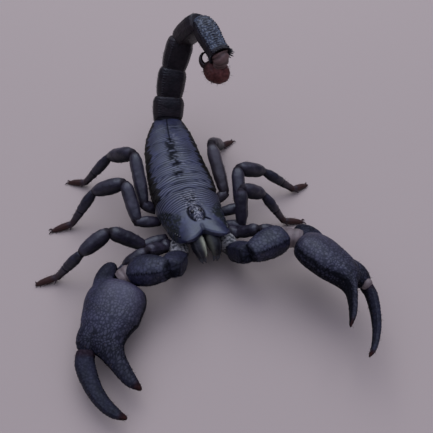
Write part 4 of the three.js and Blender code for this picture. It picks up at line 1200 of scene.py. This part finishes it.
def make_leg(side, pair):
    base, femur, patella, shank_sweep, tarsus_sweep = LEG_POSES[(side, pair)]
    name, bristles = f"leg_{side}_{pair}", f"leg_bristles_{side}"
    femur_length, patella_length, shank_length, tarsus_length = LEG_LENGTHS[pair]
    thick = LEG_THICKNESS[pair]
    dust = DUST.get((side, pair), PLAIN_DUST)

    def onward(start, sweep, height, length):
        """The way of a part that ends at the given height."""
        return heading(side, sweep, degrees(asin((height - start[2]) / length)))

    hip = np.array(base)
    knee = hip + heading(side, *femur) * femur_length
    shin = knee + heading(side, *patella) * patella_length
    shank_way = onward(shin, shank_sweep, ANKLE_HEIGHT, shank_length)
    ankle = shin + shank_way * shank_length
    tarsus_way = onward(ankle, tarsus_sweep, CLAW_HEIGHT, tarsus_length)
    claws = ankle + tarsus_way * tarsus_length
    coxa = np.array([float(bend(hip[1])) + SIDES[side] * 10.2, hip[1] * 0.82, 7.6])

    def thigh_detail(along, angle, made):
        under = step(-0.35, 0.35, -np.sin(angle))
        keel = 0.16 * hump(np.sin(angle), 0.2, 0.14) * step(0.1, 0.3, along)
        ends = fade(0.02, 0.1, along) + step(0.93, 1.0, along)
        # Painted shade underneath, dust on the upper side, and darker joint ends.
        return ripple(made, 1.8, 0.12) + beads(made, 0.9, 0.06) + keel - 0.05 * ends, {
            "tone": 0.3 * ends, "pale_and_highlight": dust * (1 - under),
            "shade_and_dark": np.clip(0.8 * under + 0.6 * ends, 0, 0.9),
        }

    def shank_detail(along, angle, made):
        joint = hump(along, 0.6, 0.022)
        knob = hump(along, 0.54, 0.05)
        under = step(-0.3, 0.4, -np.sin(angle))
        # Painted shade underneath.
        return ripple(made, 1.2, 0.12) + beads(made, 0.8, 0.06) + 0.14 * knob - 0.2 * joint, {
            "tone": SHANK_TONE[side] * step(0.75, 0.98, along) + 0.15 * step(0.6, 0.66, along),
            "pale_and_highlight": SHANK_WEAR[side] * step(0.3, 0.6, along) * step(0.0, 0.7, np.sin(angle)),
            "shade_and_dark": np.clip(0.7 * joint + 0.75 * under, 0, 0.9),
        }

    def limb(part, line, shape, detail, segments, rings, **ends):
        rows = [[p, w * thick, a * thick, b * thick] for p, w, a, b in shape]
        return tube(f"{name}_{part}", line, rows, detail=detail, segments=segments, rings=rings, **ends)

    plated = {"power": 2.7, "caps": (0.05, 0.05)}
    upper = limb("upper", [hip, knee], FEMUR_SHAPE, thigh_detail, 52, 52, bulge=(0.4, 0.5), **plated)
    plant(bristles, upper, "femur")
    socket = tube(f"{name}_socket", [coxa, hip + unit(hip - coxa) * 0.9], SOCKET_ROWS, detail=thigh_detail,
                  segments=36, rings=32)
    dress(joined(f"{name}_thigh", [upper, socket]), "leg", "leg_shell", f"{name}_femur")
    cap = limb("knee", [knee, shin], PATELLA_SHAPE, thigh_detail, 52, 52, bulge=(0.5, 0.4), **plated)
    plant(bristles, cap, "knee")
    dress(cap, "leg", "leg_shell", f"{name}_patella")

    tarsus_line = [ankle, ankle + tarsus_way * tarsus_length * 0.5, claws]
    tarsus = limb("tarsus", tarsus_line, TARSUS_SHAPE, foot_detail, 32, 36)
    plant(bristles, tarsus, "tarsus")
    shank_line = [shin, shin + shank_way * shank_length * 0.5, ankle]
    shank = limb("shank_tube", shank_line, SHANK_SHAPE, shank_detail, 36, 64)
    plant(bristles, shank, "shank", lambda along: 0.3 + step(0.5, 0.7, along))
    parts = [tarsus, shank]
    across = unit(np.cross(tarsus_way, UP))

    def thorn(part, line, rows, segments, rings, bulge):
        parts.append(tube(f"{name}_{part}", line, rows, detail=claw_detail, segments=segments, rings=rings,
                          bulge=bulge))

    for lean in (-1, 1):
        root = claws - tarsus_way * 0.5
        hook = [
            root, root + tarsus_way * 0.8 + across * lean * 0.7 + UP * 0.45,
            root + tarsus_way * 1.75 + across * lean * 1.0 + UP * 0.05,
        ]
        thorn(f"claw_{lean}", hook, THORN_ROWS, 12, 14, (0.1, 0.05))
        spur = [ankle, ankle + across * lean * 1.75 * thick + tarsus_way * 1.2 - UP * 0.7]
        thorn(f"spur_{lean}", spur, THORN_ROWS, 12, 14, (0.1, 0.05))
        for number in range(FOOT_SPINES):
            root = ankle + tarsus_way * tarsus_length * (0.25 + 0.17 * number) + across * lean * 0.55 * thick
            tip = root + across * lean * 0.7 + tarsus_way * 0.55 - UP * 0.6
            thorn(f"spine_{lean}_{number}", [root, tip], SPINE_ROWS, 8, 8, (0.05, 0.02))
    dress(joined(f"{name}_lower", parts), "leg", "leg_shell", f"{name}_foot")


# ---- Bristles ----

BRISTLE_RADIUS, BRISTLE_DROOP = 0.05, 0.16
BRISTLE_SLOTS = {
    "jaw": "jaw_shell", "tail": "tail_shell", "sting": "vesicle", "hand": "hand_shell", "leg": "leg_shell",
}
# Share of a bristle's length and of its width, for its two rings of corners.
BRISTLE_RINGS = ((-0.1, 1.0), (0.55, 0.7))
CORNERS = 4
# Size of a bristle's patch on the unwrapped skin.
PATCH = 0.003


def bristle_faces():
    """The faces of one bristle: a square root, a ring of four sides and a tip of four."""
    edges = [(k, (k + 1) % CORNERS) for k in range(CORNERS)]
    sides = [(a, b, b + CORNERS, a + CORNERS) for a, b in edges]
    return [(3, 2, 1, 0), *sides, *((a + CORNERS, b + CORNERS, 2 * CORNERS) for a, b in edges)]


def make_bristles():
    """Joins each group's bristles into one mesh: every one is a bent spike with four sides."""
    faces = bristle_faces()
    corners_each = 2 * CORNERS + 1
    corners = np.concatenate([np.array(face) for face in faces])
    spots = np.stack([corners % CORNERS / 3, np.clip(corners // CORNERS, 0, 2) / 2], axis=1) * PATCH
    for group, beds in BRISTLES.items():
        columns = ceil(sqrt(len(beds)))
        homes = np.concatenate([
            (home * 0.97 + [number % columns, number // columns]) / columns
            for number, (*_, home) in enumerate(beds)
        ])
        roots, ways, lengths = (np.concatenate(part) for part in list(zip(*beds))[:3])
        ways = ways / np.linalg.norm(ways, axis=1, keepdims=True)
        sideways = np.cross(ways, [0.31, 0.2, 0.93])
        sideways /= np.linalg.norm(sideways, axis=1, keepdims=True)
        droop = np.cross(sideways, ways)
        points = []
        for share, width in BRISTLE_RINGS:
            fall = droop * (lengths * BRISTLE_DROOP * share**2)[:, None]
            middle = roots + ways * (lengths * share)[:, None] - fall
            for number in range(CORNERS):
                turn = number * pi / 2
                points.append(middle + BRISTLE_RADIUS * width * (sideways * cos(turn) + droop * sin(turn)))
        points.append(roots + ways * lengths[:, None] - droop * (lengths * BRISTLE_DROOP)[:, None])
        places = np.stack(points, axis=1).reshape(-1, 3)
        mesh = bpy.data.meshes.new(group)
        mesh.from_pydata(np.zeros((len(places), 3)), [], [
            tuple(corner + corners_each * number for corner in face)
            for number in range(len(roots)) for face in faces
        ])
        unwrap = mesh.uv_layers.new(name="OFBake")
        unwrap.data.foreach_set("uv", (homes[:, None, :] + spots[None]).astype(np.float32).ravel())
        piece = bpy.data.objects.new(group, mesh)
        bpy.context.collection.objects.link(piece)
        set_places(piece, places)
        dress(piece, "hair", BRISTLE_SLOTS[group.split("_")[0]])


# ---- Stage ----

# Floor and lamp are in metres, the camera's place is in the maker's frame.
FLOOR_SIZE, FLOOR_DEPTH = 6.0, 0.00005
FLOOR_COLOUR = (0.42, 0.35, 0.32, 1)
LAMP_PLACE, LAMP_AIM, LAMP_SIZE, LAMP_POWER = (0.12, 0.42, 0.7), (0, 0, 0.01), 0.8, 2.6
LAMP_COLOUR = (0.9, 0.95, 1.0)
LOW_LIGHT, HIGH_LIGHT = (0.04, 0.04, 0.045), (1.10, 1.15, 1.50)
CAMERA_PLACE, CAMERA_WAY = [-23.97, -120.53, 128.0], (0.1853, 0.6824, -0.7071)
# The sensor's width in millimetres; the image's width and the focal length in points of the image.
SENSOR_WIDTH, IMAGE_WIDTH, FOCAL_LENGTH = 36.0, 433, 500


def make_floor():
    bpy.ops.object.select_all(action="DESELECT")
    bpy.ops.mesh.primitive_plane_add(size=FLOOR_SIZE, location=(0, 0, -FLOOR_DEPTH))
    floor = bpy.context.object
    floor.name = "floor"
    material, _, skin = new_finish("pale floor")
    skin.inputs["Base Color"].default_value = FLOOR_COLOUR
    skin.inputs["Roughness"].default_value = 0.9
    floor.data.materials.append(material)


def make_light():
    """One soft panel behind, and a surround that is brighter towards its top."""
    bpy.ops.object.light_add(type="AREA", location=LAMP_PLACE)
    light = bpy.context.object
    light.name = "sky panel"
    light.data.shape = "DISK"
    light.data.size = LAMP_SIZE
    light.data.energy = LAMP_POWER
    light.data.color = LAMP_COLOUR
    light.rotation_euler = (Vector(LAMP_AIM) - Vector(LAMP_PLACE)).to_track_quat("-Z", "Y").to_euler()
    world = bpy.data.worlds.new("soft surround")
    mix = Mixer(world)
    way = mix.nodes.new("ShaderNodeTexCoord")
    parts = mix.nodes.new("ShaderNodeSeparateXYZ")
    mix.link(way.outputs["Generated"], parts.inputs[0])
    steep = mix.nodes.new("ShaderNodeMath")
    steep.operation = "POWER"
    steep.inputs[1].default_value = 2.0
    mix.link(mix.ranged(parts.outputs["Z"], 0.0, 1.0), steep.inputs[0])
    colour = mix.mixed(steep.outputs["Value"], LOW_LIGHT, HIGH_LIGHT)
    mix.link(colour, mix.nodes["Background"].inputs["Color"])
    bpy.context.scene.world = world
    bpy.context.scene.view_settings.view_transform = "Standard"


def make_camera():
    place = (np.array(CAMERA_PLACE) + ORIGIN) / 1000
    turn = Vector(CAMERA_WAY).to_track_quat("-Z", "Y").to_euler()
    bpy.ops.object.camera_add(location=place, rotation=turn)
    camera = bpy.context.object
    camera.name = "camera"
    camera.data.sensor_width = SENSOR_WIDTH
    camera.data.lens = SENSOR_WIDTH * FOCAL_LENGTH / IMAGE_WIDTH
    camera.data.clip_start = 0.005
    bpy.context.scene.camera = camera


# ---- Settings, operators and panel ----

class ScorpionSettings(bpy.types.PropertyGroup):
    shell_colour: FloatVectorProperty(
        name="Shell colour", description="Darkest colour of the trunk's plates", subtype="COLOR", size=3,
        min=0.0, max=1.0, default=(0.013, 0.014, 0.038))
    hand_colour: FloatVectorProperty(
        name="Hand colour", description="Darkest colour of both hands", subtype="COLOR", size=3,
        min=0.0, max=1.0, default=(0.015, 0.014, 0.032))
    skin_colour: FloatVectorProperty(
        name="Joint skin colour", description="Palest colour of the bare joint skin", subtype="COLOR", size=3,
        min=0.0, max=1.0, default=(0.23, 0.175, 0.175))
    eye_radius: FloatProperty(
        name="Eye radius", description="Radius of the two median eyes", unit="LENGTH", precision=5,
        default=0.00068, min=0.0003, max=0.0012)


class SCORPION_OT_finishes(bpy.types.Operator):
    """Mix the finishes of shell, skin, hair and eyes"""
    bl_idname = "scorpion.finishes"
    bl_label = "Finishes"

    def execute(self, context):
        make_finishes(context.scene.scorpion)
        return {"FINISHED"}


class SCORPION_OT_head(bpy.types.Operator):
    """Make the head shield, the eyes and the chelicerae"""
    bl_idname = "scorpion.head"
    bl_label = "Head"

    def execute(self, context):
        make_carapace()
        make_eyes(context.scene.scorpion)
        make_chelicerae()
        return {"FINISHED"}


class SCORPION_OT_trunk(bpy.types.Operator):
    """Make the seven rings of the trunk"""
    bl_idname = "scorpion.trunk"
    bl_label = "Trunk rings"

    def execute(self, context):
        make_rings()
        return {"FINISHED"}


class SCORPION_OT_underside(bpy.types.Operator):
    """Make the coxae and the two combs"""
    bl_idname = "scorpion.underside"
    bl_label = "Underside"

    def execute(self, context):
        make_underside()
        return {"FINISHED"}


class SCORPION_OT_tail(bpy.types.Operator):
    """Make the tail, its crest, the poison bulb and the sting"""
    bl_idname = "scorpion.tail"
    bl_label = "Tail"

    def execute(self, context):
        make_tail()
        return {"FINISHED"}


class SCORPION_OT_palps(bpy.types.Operator):
    """Make both pedipalps with their hands"""
    bl_idname = "scorpion.palps"
    bl_label = "Pedipalps"

    def execute(self, context):
        for side in SIDES:
            make_palp(side)
        return {"FINISHED"}


class SCORPION_OT_legs(bpy.types.Operator):
    """Make the eight legs"""
    bl_idname = "scorpion.legs"
    bl_label = "Legs"

    def execute(self, context):
        for side, pair in LEG_POSES:
            make_leg(side, pair)
        return {"FINISHED"}


class SCORPION_OT_bristles(bpy.types.Operator):
    """Grow the bristles of jaws, tail, sting, hands and legs"""
    bl_idname = "scorpion.bristles"
    bl_label = "Bristles"

    def execute(self, context):
        make_bristles()
        return {"FINISHED"}


class SCORPION_OT_stage(bpy.types.Operator):
    """Set the floor, the soft light and the camera"""
    bl_idname = "scorpion.stage"
    bl_label = "Stage"

    def execute(self, context):
        make_floor()
        make_light()
        make_camera()
        return {"FINISHED"}


STEPS = [
    SCORPION_OT_finishes, SCORPION_OT_head, SCORPION_OT_trunk, SCORPION_OT_underside, SCORPION_OT_tail,
    SCORPION_OT_palps, SCORPION_OT_legs, SCORPION_OT_bristles, SCORPION_OT_stage,
]


class SCORPION_PT_panel(bpy.types.Panel):
    """Lists the scorpion's sizes, colours and steps"""
    bl_idname = "SCORPION_PT_panel"
    bl_label = "Forest scorpion"
    bl_space_type = "VIEW_3D"
    bl_region_type = "UI"
    bl_category = "Scorpion"

    def draw(self, context):
        settings = context.scene.scorpion
        for name in ("shell_colour", "hand_colour", "skin_colour", "eye_radius"):
            self.layout.prop(settings, name)
        for operator in STEPS:
            self.layout.operator(operator.bl_idname)


CLASSES = [ScorpionSettings, *STEPS, SCORPION_PT_panel]


def register():
    for cls in CLASSES:
        bpy.utils.register_class(cls)
    bpy.types.Scene.scorpion = PointerProperty(type=ScorpionSettings)


def unregister():
    del bpy.types.Scene.scorpion
    for cls in reversed(CLASSES):
        bpy.utils.unregister_class(cls)


def main():
    register()
    for operator in STEPS:
        group, name = operator.bl_idname.split(".")
        getattr(getattr(bpy.ops, group), name)()


if __name__ == "__main__":
    main()
